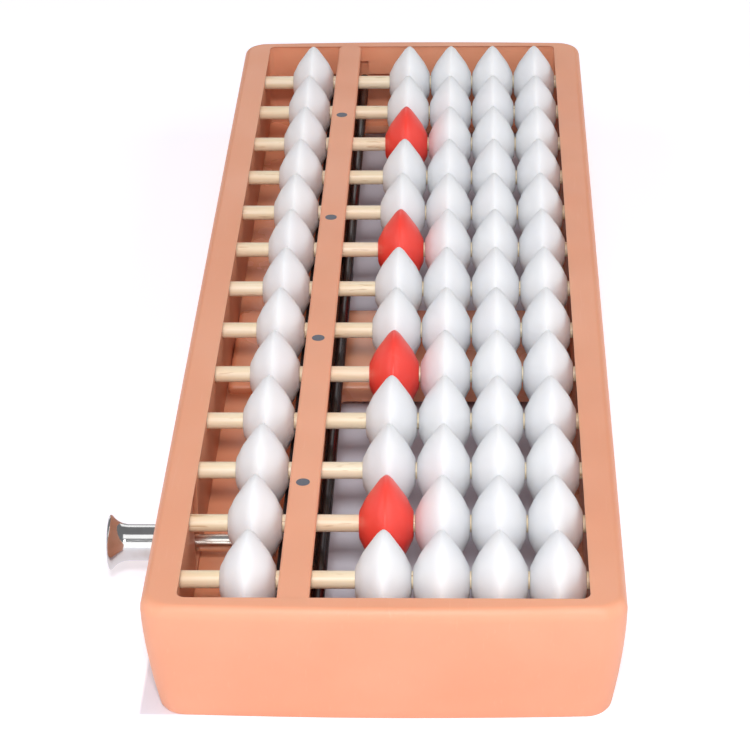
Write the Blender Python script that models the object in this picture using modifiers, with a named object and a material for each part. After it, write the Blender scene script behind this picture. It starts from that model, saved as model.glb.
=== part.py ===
"""One-touch abacus: thirteen columns of beads in a moulded frame with a clearing button.

The frame stands on its bottom rim. +X runs along the frame towards the end away from the
button, +Y points to the heaven side, where the button stands out, and +Z is up. The design is
laid out about the middle of the frame's plan, and an empty moves it so that the origin lies
under the middle of the whole object, button included.
"""

import math

import bmesh
import bpy

MM = 0.001

# Columns and beads
COLUMN_COUNT = 13
COLUMN_GAP = 0.5 * MM
EARTH_BEAD_COUNT = 4
UNIT_COLUMNS = (3, 6, 9, 12)
BEAD_DIAMETER = 14.0 * MM
BEAD_THICKNESS = 7.7 * MM
BEAD_SHOULDER_DIAMETER = 8.0 * MM
BEAD_TIP_DIAMETER = 4.4 * MM
BEAD_STEPS = 12
# distance of the ridge's edge and the shoulder from the bead's middle, as shares of its half
BEAD_RIDGE_SHARE = 0.07
BEAD_SHOULDER_SHARE = 0.745
ROD_DIAMETER = 2.5 * MM
ROD_STEPS = 12
ROD_END_DEPTH = 2.0 * MM

# Clearances and travels
TOUCH_GAP = 0.3 * MM
WELD = 0.01 * MM
BEAD_BEAM_GAP = 0.7 * MM
HEAVEN_TRAVEL = 4.85 * MM
EARTH_TRAVEL = 5.05 * MM
STROKE_MARGIN = 0.05 * MM
OVERRUN = 1.0 * MM
SHARP_ANGLE = 35

# Frame
RAIL_ABOVE_RODS = 3.5 * MM
RAIL_WIDTH = 4.9 * MM
END_WALL = 3.3 * MM
END_ROOM = 2.65 * MM
OUTER_CORNER = 3.2 * MM
INNER_CORNER = 1.2 * MM
CORNER_STEPS = 3
END_CROWN = 0.8 * MM
CROWN_STEPS = 4
FRAME_FOOT_INSET = 2.0 * MM
FRAME_TOP_ROUND = 0.9 * MM
INNER_CHAMFER = 0.5 * MM
# height and inset of the outer wall's tiers, as shares of the height and of the foot's inset
FRAME_WALL_SHARES = ((0.0, 1.0), (0.03, 0.85), (0.35, 0.42), (0.65, 0.12), (0.91, 0.0))
# drop below the top and inset of the rounded top edge, as shares of its round
FRAME_EDGE_SHARES = ((0.8, 0.1), (0.28, 0.42), (0.0, 1.0))

# Beam
BEAM_WIDTH = 4.5 * MM
BEAM_UNDER_RODS = 0.85 * MM
BEAM_EDGE = 0.4 * MM
TENON_WIDTH = 2.0 * MM
TENON_DEPTH = 3.0 * MM
TENON_LENGTH = 1.2 * MM
PILLAR_COLUMNS = (1.5, 4.5, 9.5, 12.5)
PILLAR_LENGTH = 5.0 * MM
PILLAR_BAR_GAP = 0.35 * MM
PILLAR_FOOT_WIDTH = 4.4 * MM
PILLAR_BELOW_BARS = 0.6 * MM

# Base plate
BASE_UNDERSIDE = 1.6 * MM
BASE_THICKNESS = 1.4 * MM
BASE_REBATE = 1.2 * MM
BASE_CORNER = 2.2 * MM
WEB_RISE = 1.6 * MM
WEB_HALF_LENGTH = 13.5 * MM
WEB_ROUND = 0.5 * MM
END_LEDGE = 2.6 * MM
SIDE_LEDGE = 2.4 * MM
WINDOW_BEAM_GAP = 0.25 * MM
WINDOW_CORNER = 1.0 * MM
BRACKET_THICKNESS = 1.2 * MM
BRACKET_WIDTH = 5.2 * MM
BRACKET_ABOVE_SHAFT = 2.3 * MM

# Sweep bars
BAR_DIAMETER = 2.0 * MM
BAR_STEPS = 12
BAR_BELOW_BEAM = 0.4 * MM
BAR_OUTSIDE_BEAM = 0.35 * MM
BAR_SLOT_DEPTH = 1.5 * MM
BAR_ENTRY_WIDTH = 1.8 * MM
BAR_ENTRY_RISE = 4.0 * MM

# Button and its shaft
# place of the shaft in from the last column, as a share of the columns' pitch
BUTTON_PITCH_SHARE = 1.5
SHAFT_BELOW_BARS = 4.2 * MM
SHAFT_DIAMETER = 2.5 * MM
SHAFT_STEPS = 16
SLEEVE_DIAMETER = 5.4 * MM
HEAD_DIAMETER = 8.2 * MM
HEAD_STANDOFF = 8.4 * MM
HEAD_FLARE = 2.4 * MM
HEAD_RIM = 0.3 * MM
HEAD_DISH = 0.5 * MM
# reach from the middle and drop, as shares of the head's radius and of its dish
HEAD_DISH_SHARES = ((0.0, 1.0), (0.55, 0.7))
# reach beyond the sleeve and drop, as shares of the flare
HEAD_FLARE_SHARES = (0.42, 0.5)
SLEEVE_DEPTH = 2.2 * MM
SHAFT_HEAD_GRIP = 1.6 * MM
COLLAR_DIAMETER = 4.4 * MM
COLLAR_WIDTH = 1.0 * MM
POCKET_WIDTH = 6.0 * MM
POCKET_DEPTH = 2.4 * MM
POCKET_LIP = 1.2 * MM

# Return spring
SPRING_LENGTH = 8.4 * MM
SPRING_WIRE = 0.4 * MM
SPRING_DIAMETER = 4.2 * MM
SPRING_TURNS = 6
SPRING_POINTS = 9

# Carriers that hold the bars
CARRIER_ABOVE_BARS = 0.4 * MM
CARRIER_PAST_BARS = 0.3 * MM
LEVER_CARRIER_LENGTH = 3.0 * MM
LEVER_CARRIER_REACH = 3.1 * MM
LEVER_CARRIER_DEPTH = 3.1 * MM
LEVER_CARRIER_RISE = 2.4 * MM
PIN_ROOT_SHARE = 0.3
LEVER_COLUMN_OFFSET = 1.5
PIN_DIAMETER = 1.4 * MM
PIN_FROM_BARS = 1.3 * MM
PIN_BELOW_LEVER = 0.2 * MM
DRIVE_CARRIER_LENGTH = 5.2 * MM
DRIVE_CARRIER_REACH = 1.9 * MM
DRIVE_CARRIER_BELOW_SHAFT = 2.6 * MM

# Reversing lever
LEVER_ABOVE_WEB = 0.7 * MM
LEVER_THICKNESS = 1.2 * MM
LEVER_WIDTH = 3.4 * MM
LEVER_PIN_PLAY = 0.3 * MM
LEVER_END_PAST_PIN = 1.6 * MM
PIVOT_DIAMETER = 2.0 * MM
PIVOT_HEAD_DIAMETER = 3.8 * MM
PIVOT_HEAD_HEIGHT = 0.8 * MM

# Base screws
SCREW_DIAMETER = 1.6 * MM
SCREW_HEAD_DIAMETER = 3.4 * MM
SCREW_HEAD_HEIGHT = 1.1 * MM
SCREW_GRIP = 4.0 * MM
# reach and height of the head's crown, as shares of its radius and height
SCREW_CROWN_SHARES = (0.7, 0.4)

# Places worked out from the sizes above
COLUMN_PITCH = BEAD_DIAMETER + COLUMN_GAP
BUTTON_STROKE = HEAVEN_TRAVEL - STROKE_MARGIN
EARTH_STACK = EARTH_BEAD_COUNT * (BEAD_THICKNESS + TOUCH_GAP) - TOUCH_GAP
HEAVEN_DECK = BEAD_BEAM_GAP + BEAD_THICKNESS + HEAVEN_TRAVEL + TOUCH_GAP
EARTH_DECK = BEAD_BEAM_GAP + EARTH_STACK + EARTH_TRAVEL + TOUCH_GAP
INNER_HALF_Y = (HEAVEN_DECK + BEAM_WIDTH + EARTH_DECK) / 2
COLUMNS_HALF_X = (COLUMN_COUNT - 1) * COLUMN_PITCH / 2
BUTTON_X = BUTTON_PITCH_SHARE * COLUMN_PITCH - COLUMNS_HALF_X
INNER_HALF_X = COLUMNS_HALF_X + BEAD_DIAMETER / 2 + END_ROOM
OUTER_HALF_Y = INNER_HALF_Y + RAIL_WIDTH
OUTER_HALF_X = INNER_HALF_X + END_WALL
BEAM_Y = INNER_HALF_Y - HEAVEN_DECK - BEAM_WIDTH / 2
BAR_FROM_BEAM = BEAM_WIDTH / 2 + BAR_OUTSIDE_BEAM
EARTH_BAR_Y = BEAM_Y - BAR_FROM_BEAM
HEAVEN_BAR_Y = BEAM_Y + BAR_FROM_BEAM
PIN_FROM_BEAM = BAR_FROM_BEAM - PIN_FROM_BARS
BASE_TOP = BASE_UNDERSIDE + BASE_THICKNESS
WEB_TOP = BASE_TOP + WEB_RISE
LEVER_BOTTOM = WEB_TOP + LEVER_ABOVE_WEB
LEVER_TOP = LEVER_BOTTOM + LEVER_THICKNESS
CARRIER_TOP = LEVER_TOP + LEVER_CARRIER_RISE + LEVER_CARRIER_DEPTH
BAR_HEIGHT = CARRIER_TOP - CARRIER_ABOVE_BARS
SHAFT_HEIGHT = BAR_HEIGHT - SHAFT_BELOW_BARS
BEAM_BOTTOM = BAR_HEIGHT + BAR_DIAMETER / 2 + BAR_BELOW_BEAM
ROD_HEIGHT = BEAM_BOTTOM + BEAM_UNDER_RODS + TOUCH_GAP + ROD_DIAMETER / 2
FRAME_HEIGHT = ROD_HEIGHT + RAIL_ABOVE_RODS
HEAD_Y = OUTER_HALF_Y + HEAD_STANDOFF
ORIGIN_Y = (HEAD_Y - OUTER_HALF_Y) / 2


def column_x(column):
    """Place along the frame of a column, counted from the end away from the button."""
    return ((COLUMN_COUNT + 1) / 2 - column) * COLUMN_PITCH


def clear_scene():
    """Empty the file of objects."""
    for old in list(bpy.data.objects):
        bpy.data.objects.remove(old, do_unlink=True)


def new_collection(name):
    """A collection linked to the scene."""
    collection = bpy.data.collections.new(name)
    bpy.context.scene.collection.children.link(collection)
    return collection


def finish(name, color, roughness, metallic=0.0):
    """A plain surface for one kind of piece."""
    material = bpy.data.materials.new(name)
    material.use_nodes = True
    shader = material.node_tree.nodes["Principled BSDF"]
    shader.inputs["Base Color"].default_value = (*color, 1.0)
    shader.inputs["Roughness"].default_value = roughness
    shader.inputs["Metallic"].default_value = metallic
    return material


class Workshop:
    """Holds the collections, the origin empty and the finishes that every piece uses."""

    def __init__(self):
        self.parts = new_collection("one_touch_abacus")
        self.tools = new_collection("cutters")
        self.origin = bpy.data.objects.new("design_origin", None)
        self.origin.location = (0, -ORIGIN_Y, 0)
        self.parts.objects.link(self.origin)
        self.salmon = finish("salmon_plastic", (0.80, 0.36, 0.20), 0.38)
        self.white = finish("white_plastic", (0.85, 0.86, 0.87), 0.22)
        self.red = finish("red_plastic", (0.85, 0.06, 0.05), 0.22)
        self.bamboo = finish("bamboo", (0.80, 0.62, 0.34), 0.45)
        self.black = finish("blackened_steel", (0.03, 0.025, 0.025), 0.35, 0.6)
        self.chrome = finish("chromed_steel", (0.75, 0.74, 0.73), 0.12, 1.0)
        self.steel = finish("zinc_steel", (0.55, 0.55, 0.56), 0.35, 1.0)
        self.nylon = finish("black_nylon", (0.03, 0.03, 0.035), 0.5)

    def add(self, name, mesh, material, smooth=False):
        """A named part with its finish."""
        piece = bpy.data.objects.new(name, mesh)
        mesh.materials.append(material)
        if smooth:
            shade_round(mesh)
        piece.parent = self.origin
        self.parts.objects.link(piece)
        return piece

    def tool(self, name, mesh):
        """A body that a Boolean uses, kept out of the part."""
        piece = bpy.data.objects.new(name, mesh)
        piece.parent = self.origin
        piece.hide_render = True
        piece.display_type = "WIRE"
        self.tools.objects.link(piece)
        return piece


def shade_round(mesh):
    """Smooth shading that keeps the sharp edges."""
    mesh.shade_smooth()
    mesh.set_sharp_from_angle(angle=math.radians(SHARP_ANGLE))


def to_mesh(name, bm):
    """A mesh from a bmesh, which is freed."""
    mesh = bpy.data.meshes.new(name)
    bm.to_mesh(mesh)
    bm.free()
    return mesh


def combine(piece, tool, operation="DIFFERENCE"):
    """Cut the tool out of the piece, or join it on."""
    boolean = piece.modifiers.new(tool.name, "BOOLEAN")
    boolean.operation = operation
    boolean.solver = "EXACT"
    boolean.object = tool


def box_mesh(name, low, high, edge=0.0):
    """A box between two corners, with rounded edges if an edge size is given."""
    bm = bmesh.new()
    bmesh.ops.create_cube(bm, size=1.0)
    size = [h - l for l, h in zip(low, high)]
    centre = [(h + l) / 2 for l, h in zip(low, high)]
    bmesh.ops.scale(bm, vec=size, verts=bm.verts)
    bmesh.ops.translate(bm, vec=centre, verts=bm.verts)
    if edge:
        bmesh.ops.bevel(
            bm, geom=bm.edges[:], offset=edge, segments=1, profile=0.5, affect="EDGES"
        )
    return to_mesh(name, bm)


def tiered_mesh(name, half_x, half_y, corner, tiers, crown=0.0):
    """A block with rounded upright edges whose walls are drawn in by each tier's inset."""
    bm = bmesh.new()
    bottom = tiers[0][0]
    top = tiers[-1][0]
    bmesh.ops.create_cube(bm, size=1.0)
    bmesh.ops.scale(bm, vec=(2 * half_x, 2 * half_y, top - bottom), verts=bm.verts)
    bmesh.ops.translate(bm, vec=(0, 0, (top + bottom) / 2), verts=bm.verts)
    uprights = [e for e in bm.edges if abs(e.verts[0].co.z - e.verts[1].co.z) > 0]
    bmesh.ops.bevel(
        bm, geom=uprights, offset=corner, segments=CORNER_STEPS, profile=0.5, affect="EDGES"
    )
    for height, _ in tiers[1:-1]:
        cut(bm, (0, 0, height), (0, 0, 1))
    if crown:
        for step in range(1, CROWN_STEPS):
            cut(bm, (0, half_y * (2 * step / CROWN_STEPS - 1), 0), (0, 1, 0))
    for vert in bm.verts:
        inset = min(tiers, key=lambda tier: abs(tier[0] - vert.co.z))[1]
        drawn_in = inset + crown * (vert.co.y / half_y) ** 2
        if vert.co.x:
            vert.co.x -= math.copysign(drawn_in, vert.co.x)
        if vert.co.y:
            vert.co.y -= math.copysign(inset, vert.co.y)
    return to_mesh(name, bm)


def cut(bm, point, normal):
    """Add a ring of edges where a plane crosses the mesh."""
    everything = bm.verts[:] + bm.edges[:] + bm.faces[:]
    bmesh.ops.bisect_plane(bm, geom=everything, plane_co=point, plane_no=normal)


def cylinders_mesh(name, radius, length, centres, axis, steps):
    """Round bars of one size at several places, lying along one axis."""
    bm = bmesh.new()
    for centre in centres:
        made = bmesh.ops.create_cone(
            bm, cap_ends=True, segments=steps, radius1=radius, radius2=radius, depth=length
        )
        if axis == "Y":
            for vert in made["verts"]:
                vert.co = (vert.co.x, vert.co.z, -vert.co.y)
        if axis == "X":
            for vert in made["verts"]:
                vert.co = (vert.co.z, vert.co.y, -vert.co.x)
        bmesh.ops.translate(bm, vec=centre, verts=made["verts"])
    return to_mesh(name, bm)


def turned(piece_name, profile, steps, closed=False):
    """A mesh of profile points (radius, height) and the settings to turn it about Z."""
    mesh = bpy.data.meshes.new(piece_name)
    points = [(radius, 0, height) for radius, height in profile]
    edges = [(n, n + 1) for n in range(len(points) - 1)]
    if closed:
        edges.append((len(points) - 1, 0))
    mesh.from_pydata(points, edges, [])
    return mesh, steps


def turn(piece, steps):
    """Spin a profile about the piece's own Z."""
    screw = piece.modifiers.new("turning", "SCREW")
    screw.steps = steps
    screw.render_steps = steps
    screw.use_merge_vertices = True
    screw.merge_threshold = WELD
    screw.use_smooth_shade = True
    return piece


def along_y(piece, x, y, z):
    """Lay a turned piece down so that its own Z points to +Y."""
    piece.rotation_euler = (-math.pi / 2, 0, 0)
    piece.location = (x, y, z)
    return piece


def bead_outline(beads):
    """Profile of beads that touch end to end, about the middle of the stack."""
    radius = BEAD_DIAMETER / 2
    half = BEAD_THICKNESS / 2
    pitch = BEAD_THICKNESS + TOUCH_GAP
    shoulder = BEAD_SHOULDER_DIAMETER / 2
    tip = BEAD_TIP_DIAMETER / 2
    bore = ROD_DIAMETER / 2 + TOUCH_GAP
    stack_half = (beads * pitch - TOUCH_GAP) / 2
    points = [(tip, stack_half)]
    for bead in range(beads):
        middle = stack_half - half - bead * pitch
        points.append((shoulder, middle + half * BEAD_SHOULDER_SHARE))
        points.append((radius, middle + half * BEAD_RIDGE_SHARE))
        points.append((radius, middle - half * BEAD_RIDGE_SHARE))
        points.append((shoulder, middle - half * BEAD_SHOULDER_SHARE))
        last = bead == beads - 1
        points.append((tip, -stack_half if last else middle - pitch / 2))
    points.append((bore, -stack_half))
    points.append((bore, stack_half))
    return points


def make_frame(shop, rod_bores):
    """The moulded ring: rails, end walls, and what is let into them."""
    tiers = [
        (share * FRAME_HEIGHT, inset * FRAME_FOOT_INSET) for share, inset in FRAME_WALL_SHARES
    ]
    tiers += [
        (FRAME_HEIGHT - drop * FRAME_TOP_ROUND, inset * FRAME_TOP_ROUND)
        for drop, inset in FRAME_EDGE_SHARES
    ]
    body = tiered_mesh("frame", OUTER_HALF_X, OUTER_HALF_Y, OUTER_CORNER, tiers, END_CROWN)
    frame = shop.add("frame", body, shop.salmon, smooth=True)
    opening = [
        (-OVERRUN, 0),
        (FRAME_HEIGHT - INNER_CHAMFER, 0),
        (FRAME_HEIGHT + OVERRUN, -INNER_CHAMFER - OVERRUN),
    ]
    inside = tiered_mesh("frame_inside", INNER_HALF_X, INNER_HALF_Y, INNER_CORNER, opening)
    combine(frame, shop.tool("frame_inside", inside))
    rebate_y = INNER_HALF_Y + BASE_REBATE
    levels = [(-OVERRUN, 0), (BASE_TOP + TOUCH_GAP, 0)]
    rebate = tiered_mesh("base_rebate", INNER_HALF_X, rebate_y, BASE_CORNER, levels)
    combine(frame, shop.tool("base_rebate", rebate))
    combine(frame, rod_bores)
    cut_button_way(shop, frame)
    for end in (-1, 1):
        cut_end_wall(shop, frame, end)
    return frame


def cut_button_way(shop, frame):
    """The hole for the button's sleeve and the pocket in front of it."""
    x = BUTTON_X
    hole_radius = SLEEVE_DIAMETER / 2 + TOUCH_GAP
    hole = cylinders_mesh(
        "button_hole",
        hole_radius,
        2 * RAIL_WIDTH,
        [(x, INNER_HALF_Y + RAIL_WIDTH / 2, SHAFT_HEIGHT)],
        "Y",
        SHAFT_STEPS,
    )
    combine(frame, shop.tool("button_hole", hole))
    pocket = box_mesh(
        "button_pocket",
        (x - POCKET_WIDTH / 2, INNER_HALF_Y - OVERRUN, SHAFT_HEIGHT - POCKET_WIDTH / 2),
        (x + POCKET_WIDTH / 2, INNER_HALF_Y + POCKET_DEPTH, FRAME_HEIGHT - POCKET_LIP),
    )
    combine(frame, shop.tool("button_pocket", pocket))


def cut_end_wall(shop, frame, end):
    """Slots for the bars' ends, their entry and the beam's pocket, in one end wall."""
    reach = BAR_DIAMETER / 2 + TOUCH_GAP
    name = "far" if end > 0 else "near"
    inner = sorted((end * (INNER_HALF_X - OVERRUN), end * (INNER_HALF_X + BAR_SLOT_DEPTH)))
    slots = {
        "earth_slot": (EARTH_BAR_Y - BUTTON_STROKE - reach, EARTH_BAR_Y + reach),
        "heaven_slot": (HEAVEN_BAR_Y - reach, HEAVEN_BAR_Y + BUTTON_STROKE + reach),
    }
    for slot, (low_y, high_y) in slots.items():
        mesh = box_mesh(
            slot,
            (inner[0], low_y, BAR_HEIGHT - reach),
            (inner[1], high_y, BAR_HEIGHT + reach),
        )
        combine(frame, shop.tool(f"{name}_{slot}", mesh))
    entry = box_mesh(
        "bar_entry",
        (inner[0], EARTH_BAR_Y - BAR_ENTRY_WIDTH / 2, BAR_HEIGHT),
        (inner[1], EARTH_BAR_Y + BAR_ENTRY_WIDTH / 2, BAR_HEIGHT + BAR_ENTRY_RISE),
    )
    combine(frame, shop.tool(f"{name}_bar_entry", entry))
    half_width = TENON_WIDTH / 2 + TOUCH_GAP
    half_depth = TENON_DEPTH / 2 + TOUCH_GAP
    pocket_end = INNER_HALF_X + TENON_LENGTH + TOUCH_GAP
    pocket = sorted((end * (INNER_HALF_X - OVERRUN), end * pocket_end))
    mesh = box_mesh(
        "beam_pocket",
        (pocket[0], BEAM_Y - half_width, ROD_HEIGHT - half_depth),
        (pocket[1], BEAM_Y + half_width, ROD_HEIGHT + half_depth),
    )
    combine(frame, shop.tool(f"{name}_beam_pocket", mesh))


def make_beam(shop, rod_bores):
    """The beam between the decks, with its tenons and the pillars that hold the base."""
    half_x = INNER_HALF_X - TOUCH_GAP
    body = box_mesh(
        "beam",
        (-half_x, BEAM_Y - BEAM_WIDTH / 2, BEAM_BOTTOM),
        (half_x, BEAM_Y + BEAM_WIDTH / 2, FRAME_HEIGHT),
        BEAM_EDGE,
    )
    beam = shop.add("beam", body, shop.salmon)
    tenon_x = INNER_HALF_X + TENON_LENGTH
    tenon = box_mesh(
        "tenons",
        (-tenon_x, BEAM_Y - TENON_WIDTH / 2, ROD_HEIGHT - TENON_DEPTH / 2),
        (tenon_x, BEAM_Y + TENON_WIDTH / 2, ROD_HEIGHT + TENON_DEPTH / 2),
    )
    combine(beam, shop.tool("tenons", tenon), "UNION")
    foot_top = BAR_HEIGHT - BAR_DIAMETER / 2 - PILLAR_BELOW_BARS
    neck_half = BAR_FROM_BEAM - BAR_DIAMETER / 2 - PILLAR_BAR_GAP
    for column in PILLAR_COLUMNS:
        x = column_x(column)
        neck = box_mesh(
            "neck",
            (x - PILLAR_LENGTH / 2, BEAM_Y - neck_half, foot_top - OVERRUN),
            (x + PILLAR_LENGTH / 2, BEAM_Y + neck_half, BEAM_BOTTOM + BEAM_UNDER_RODS / 2),
        )
        combine(beam, shop.tool(f"neck_{column}", neck), "UNION")
        foot = box_mesh(
            "foot",
            (x - PILLAR_LENGTH / 2, BEAM_Y - PILLAR_FOOT_WIDTH / 2, BASE_TOP + TOUCH_GAP),
            (x + PILLAR_LENGTH / 2, BEAM_Y + PILLAR_FOOT_WIDTH / 2, foot_top),
        )
        combine(beam, shop.tool(f"foot_{column}", foot), "UNION")
    combine(beam, rod_bores)
    pilot_top = BASE_TOP + SCREW_GRIP + TOUCH_GAP
    pilot = cylinders_mesh(
        "pilot_holes",
        SCREW_DIAMETER / 2 + TOUCH_GAP,
        2 * (pilot_top - BASE_TOP),
        [(column_x(column), BEAM_Y, BASE_TOP) for column in PILLAR_COLUMNS],
        "Z",
        ROD_STEPS,
    )
    combine(beam, shop.tool("pilot_holes", pilot))
    return beam


def make_base(shop):
    """The base plate with its two windows, the raised web and the spring's bracket."""
    half_x = INNER_HALF_X - TOUCH_GAP
    half_y = INNER_HALF_Y + BASE_REBATE - TOUCH_GAP
    levels = [(BASE_UNDERSIDE, 0), (BASE_TOP, 0)]
    body = tiered_mesh("base", half_x, half_y, BASE_CORNER, levels)
    base = shop.add("base_plate", body, shop.salmon)
    web_y = INNER_HALF_Y - TOUCH_GAP
    web = box_mesh(
        "web",
        (-WEB_HALF_LENGTH, -web_y, BASE_UNDERSIDE + BASE_THICKNESS / 2),
        (WEB_HALF_LENGTH, web_y, WEB_TOP),
        WEB_ROUND,
    )
    combine(base, shop.tool("web", web), "UNION")
    bracket_x = BUTTON_X
    bracket_y = bracket_start()
    bracket = box_mesh(
        "bracket",
        (bracket_x - BRACKET_WIDTH / 2, bracket_y, BASE_UNDERSIDE),
        (
            bracket_x + BRACKET_WIDTH / 2,
            bracket_y + BRACKET_THICKNESS,
            SHAFT_HEIGHT + BRACKET_ABOVE_SHAFT,
        ),
    )
    combine(base, shop.tool("bracket", bracket), "UNION")
    window_y = (-INNER_HALF_Y + SIDE_LEDGE, BEAM_Y - BEAM_WIDTH / 2 - WINDOW_BEAM_GAP)
    window_half_x = (INNER_HALF_X - END_LEDGE - WEB_HALF_LENGTH) / 2
    window_half_y = (window_y[1] - window_y[0]) / 2
    window_x = WEB_HALF_LENGTH + window_half_x
    tiers = [(BASE_UNDERSIDE - OVERRUN, 0), (BASE_TOP + OVERRUN, 0)]
    for name, x in (("near_window", -window_x), ("far_window", window_x)):
        mesh = tiered_mesh(name, window_half_x, window_half_y, WINDOW_CORNER, tiers)
        window = shop.tool(name, mesh)
        window.location = (x, (window_y[0] + window_y[1]) / 2, 0)
        combine(base, window)
    shaft_way = cylinders_mesh(
        "bracket_hole",
        SHAFT_DIAMETER / 2 + TOUCH_GAP,
        BRACKET_THICKNESS + 2 * OVERRUN,
        [(bracket_x, bracket_y + BRACKET_THICKNESS / 2, SHAFT_HEIGHT)],
        "Y",
        ROD_STEPS,
    )
    combine(base, shop.tool("bracket_hole", shaft_way))
    screw_holes = cylinders_mesh(
        "screw_holes",
        SCREW_DIAMETER / 2 + TOUCH_GAP,
        BASE_THICKNESS + 2 * OVERRUN,
        [(column_x(c), BEAM_Y, BASE_UNDERSIDE + BASE_THICKNESS / 2) for c in PILLAR_COLUMNS],
        "Z",
        ROD_STEPS,
    )
    combine(base, shop.tool("screw_holes", screw_holes))
    web_depth = WEB_TOP - BASE_UNDERSIDE
    pivot_hole = cylinders_mesh(
        "pivot_hole",
        PIVOT_DIAMETER / 2 + TOUCH_GAP,
        web_depth + 2 * OVERRUN,
        [(0, BEAM_Y, BASE_UNDERSIDE + web_depth / 2)],
        "Z",
        ROD_STEPS,
    )
    combine(base, shop.tool("pivot_hole", pivot_hole))
    return base


def make_columns(shop):
    """Rods and beads, one column after another from the end away from the button."""
    rod_length = 2 * (INNER_HALF_Y + ROD_END_DEPTH)
    rod_mesh = cylinders_mesh(
        "rod", ROD_DIAMETER / 2, rod_length, [(0, 0, 0)], "Y", ROD_STEPS
    )
    heaven_mesh, steps = turned("heaven_bead", bead_outline(1), BEAD_STEPS, closed=True)
    red_mesh, _ = turned("red_bead", bead_outline(1), BEAD_STEPS, closed=True)
    stack = bead_outline(EARTH_BEAD_COUNT)
    short_stack = bead_outline(EARTH_BEAD_COUNT - 1)
    stack_mesh, _ = turned("bead_stack", stack, BEAD_STEPS, closed=True)
    short_mesh, _ = turned("short_stack", short_stack, BEAD_STEPS, closed=True)
    heaven_y = BEAM_Y + BEAM_WIDTH / 2 + BEAD_BEAM_GAP + BEAD_THICKNESS / 2
    stack_low = -INNER_HALF_Y + TOUCH_GAP
    pitch = BEAD_THICKNESS + TOUCH_GAP
    for column in range(1, COLUMN_COUNT + 1):
        x = column_x(column)
        rod = shop.add(f"rod_{column:02d}", rod_mesh.copy(), shop.bamboo, smooth=True)
        rod.location = (x, 0, ROD_HEIGHT)
        heaven = shop.add(f"heaven_bead_{column:02d}", heaven_mesh.copy(), shop.white)
        along_y(turn(heaven, steps), x, heaven_y, ROD_HEIGHT)
        if column in UNIT_COLUMNS:
            lower = shop.add(f"earth_beads_{column:02d}", short_mesh.copy(), shop.white)
            length = (EARTH_BEAD_COUNT - 1) * pitch - TOUCH_GAP
            red = shop.add(f"earth_bead_red_{column:02d}", red_mesh.copy(), shop.red)
            red_y = stack_low + (EARTH_BEAD_COUNT - 1) * pitch + BEAD_THICKNESS / 2
            along_y(turn(red, steps), x, red_y, ROD_HEIGHT)
        else:
            lower = shop.add(f"earth_beads_{column:02d}", stack_mesh.copy(), shop.white)
            length = EARTH_STACK
        along_y(turn(lower, steps), x, stack_low + length / 2, ROD_HEIGHT)


def make_button(shop):
    """The flared cap and the shaft that runs from it to the earth bar."""
    x = BUTTON_X
    sleeve = SLEEVE_DIAMETER / 2
    head = HEAD_DIAMETER / 2
    bore = SHAFT_DIAMETER / 2 + TOUCH_GAP
    sleeve_end = OUTER_HALF_Y - SLEEVE_DEPTH
    length = HEAD_Y - sleeve_end
    grip = length - SHAFT_HEAD_GRIP
    flare_out, flare_down = HEAD_FLARE_SHARES
    profile = [
        (head * reach, length - HEAD_DISH * drop) for reach, drop in HEAD_DISH_SHARES
    ]
    profile += [
        (head - HEAD_RIM, length),
        (head, length - HEAD_RIM),
        (sleeve + (head - sleeve) * flare_out, length - HEAD_FLARE * flare_down),
        (sleeve, length - HEAD_FLARE),
        (sleeve, 0),
        (bore, 0),
        (bore, grip),
        (0, grip),
    ]
    mesh, steps = turned("button_cap", profile, SHAFT_STEPS)
    cap = shop.add("button_cap", mesh, shop.chrome)
    along_y(turn(cap, steps), x, sleeve_end, SHAFT_HEIGHT)
    shaft = SHAFT_DIAMETER / 2
    collar = COLLAR_DIAMETER / 2
    shaft_low = EARTH_BAR_Y - CARRIER_PAST_BARS
    shaft_high = sleeve_end + grip - TOUCH_GAP
    collar_low = spring_start() + SPRING_LENGTH + TOUCH_GAP
    outline = [
        (0, shaft_high - shaft_low),
        (shaft, shaft_high - shaft_low),
        (shaft, collar_low + COLLAR_WIDTH - shaft_low),
        (collar, collar_low + COLLAR_WIDTH - shaft_low),
        (collar, collar_low - shaft_low),
        (shaft, collar_low - shaft_low),
        (shaft, 0),
        (0, 0),
    ]
    mesh, steps = turned("button_shaft", outline, SHAFT_STEPS)
    stem = shop.add("button_shaft", mesh, shop.chrome)
    along_y(turn(stem, steps), x, shaft_low, SHAFT_HEIGHT)


def bracket_start():
    """The bracket's face that stops the drive carrier."""
    return EARTH_BAR_Y + DRIVE_CARRIER_REACH + TOUCH_GAP


def spring_start():
    """Where the spring stands off the bracket."""
    return bracket_start() + BRACKET_THICKNESS + TOUCH_GAP


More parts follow.
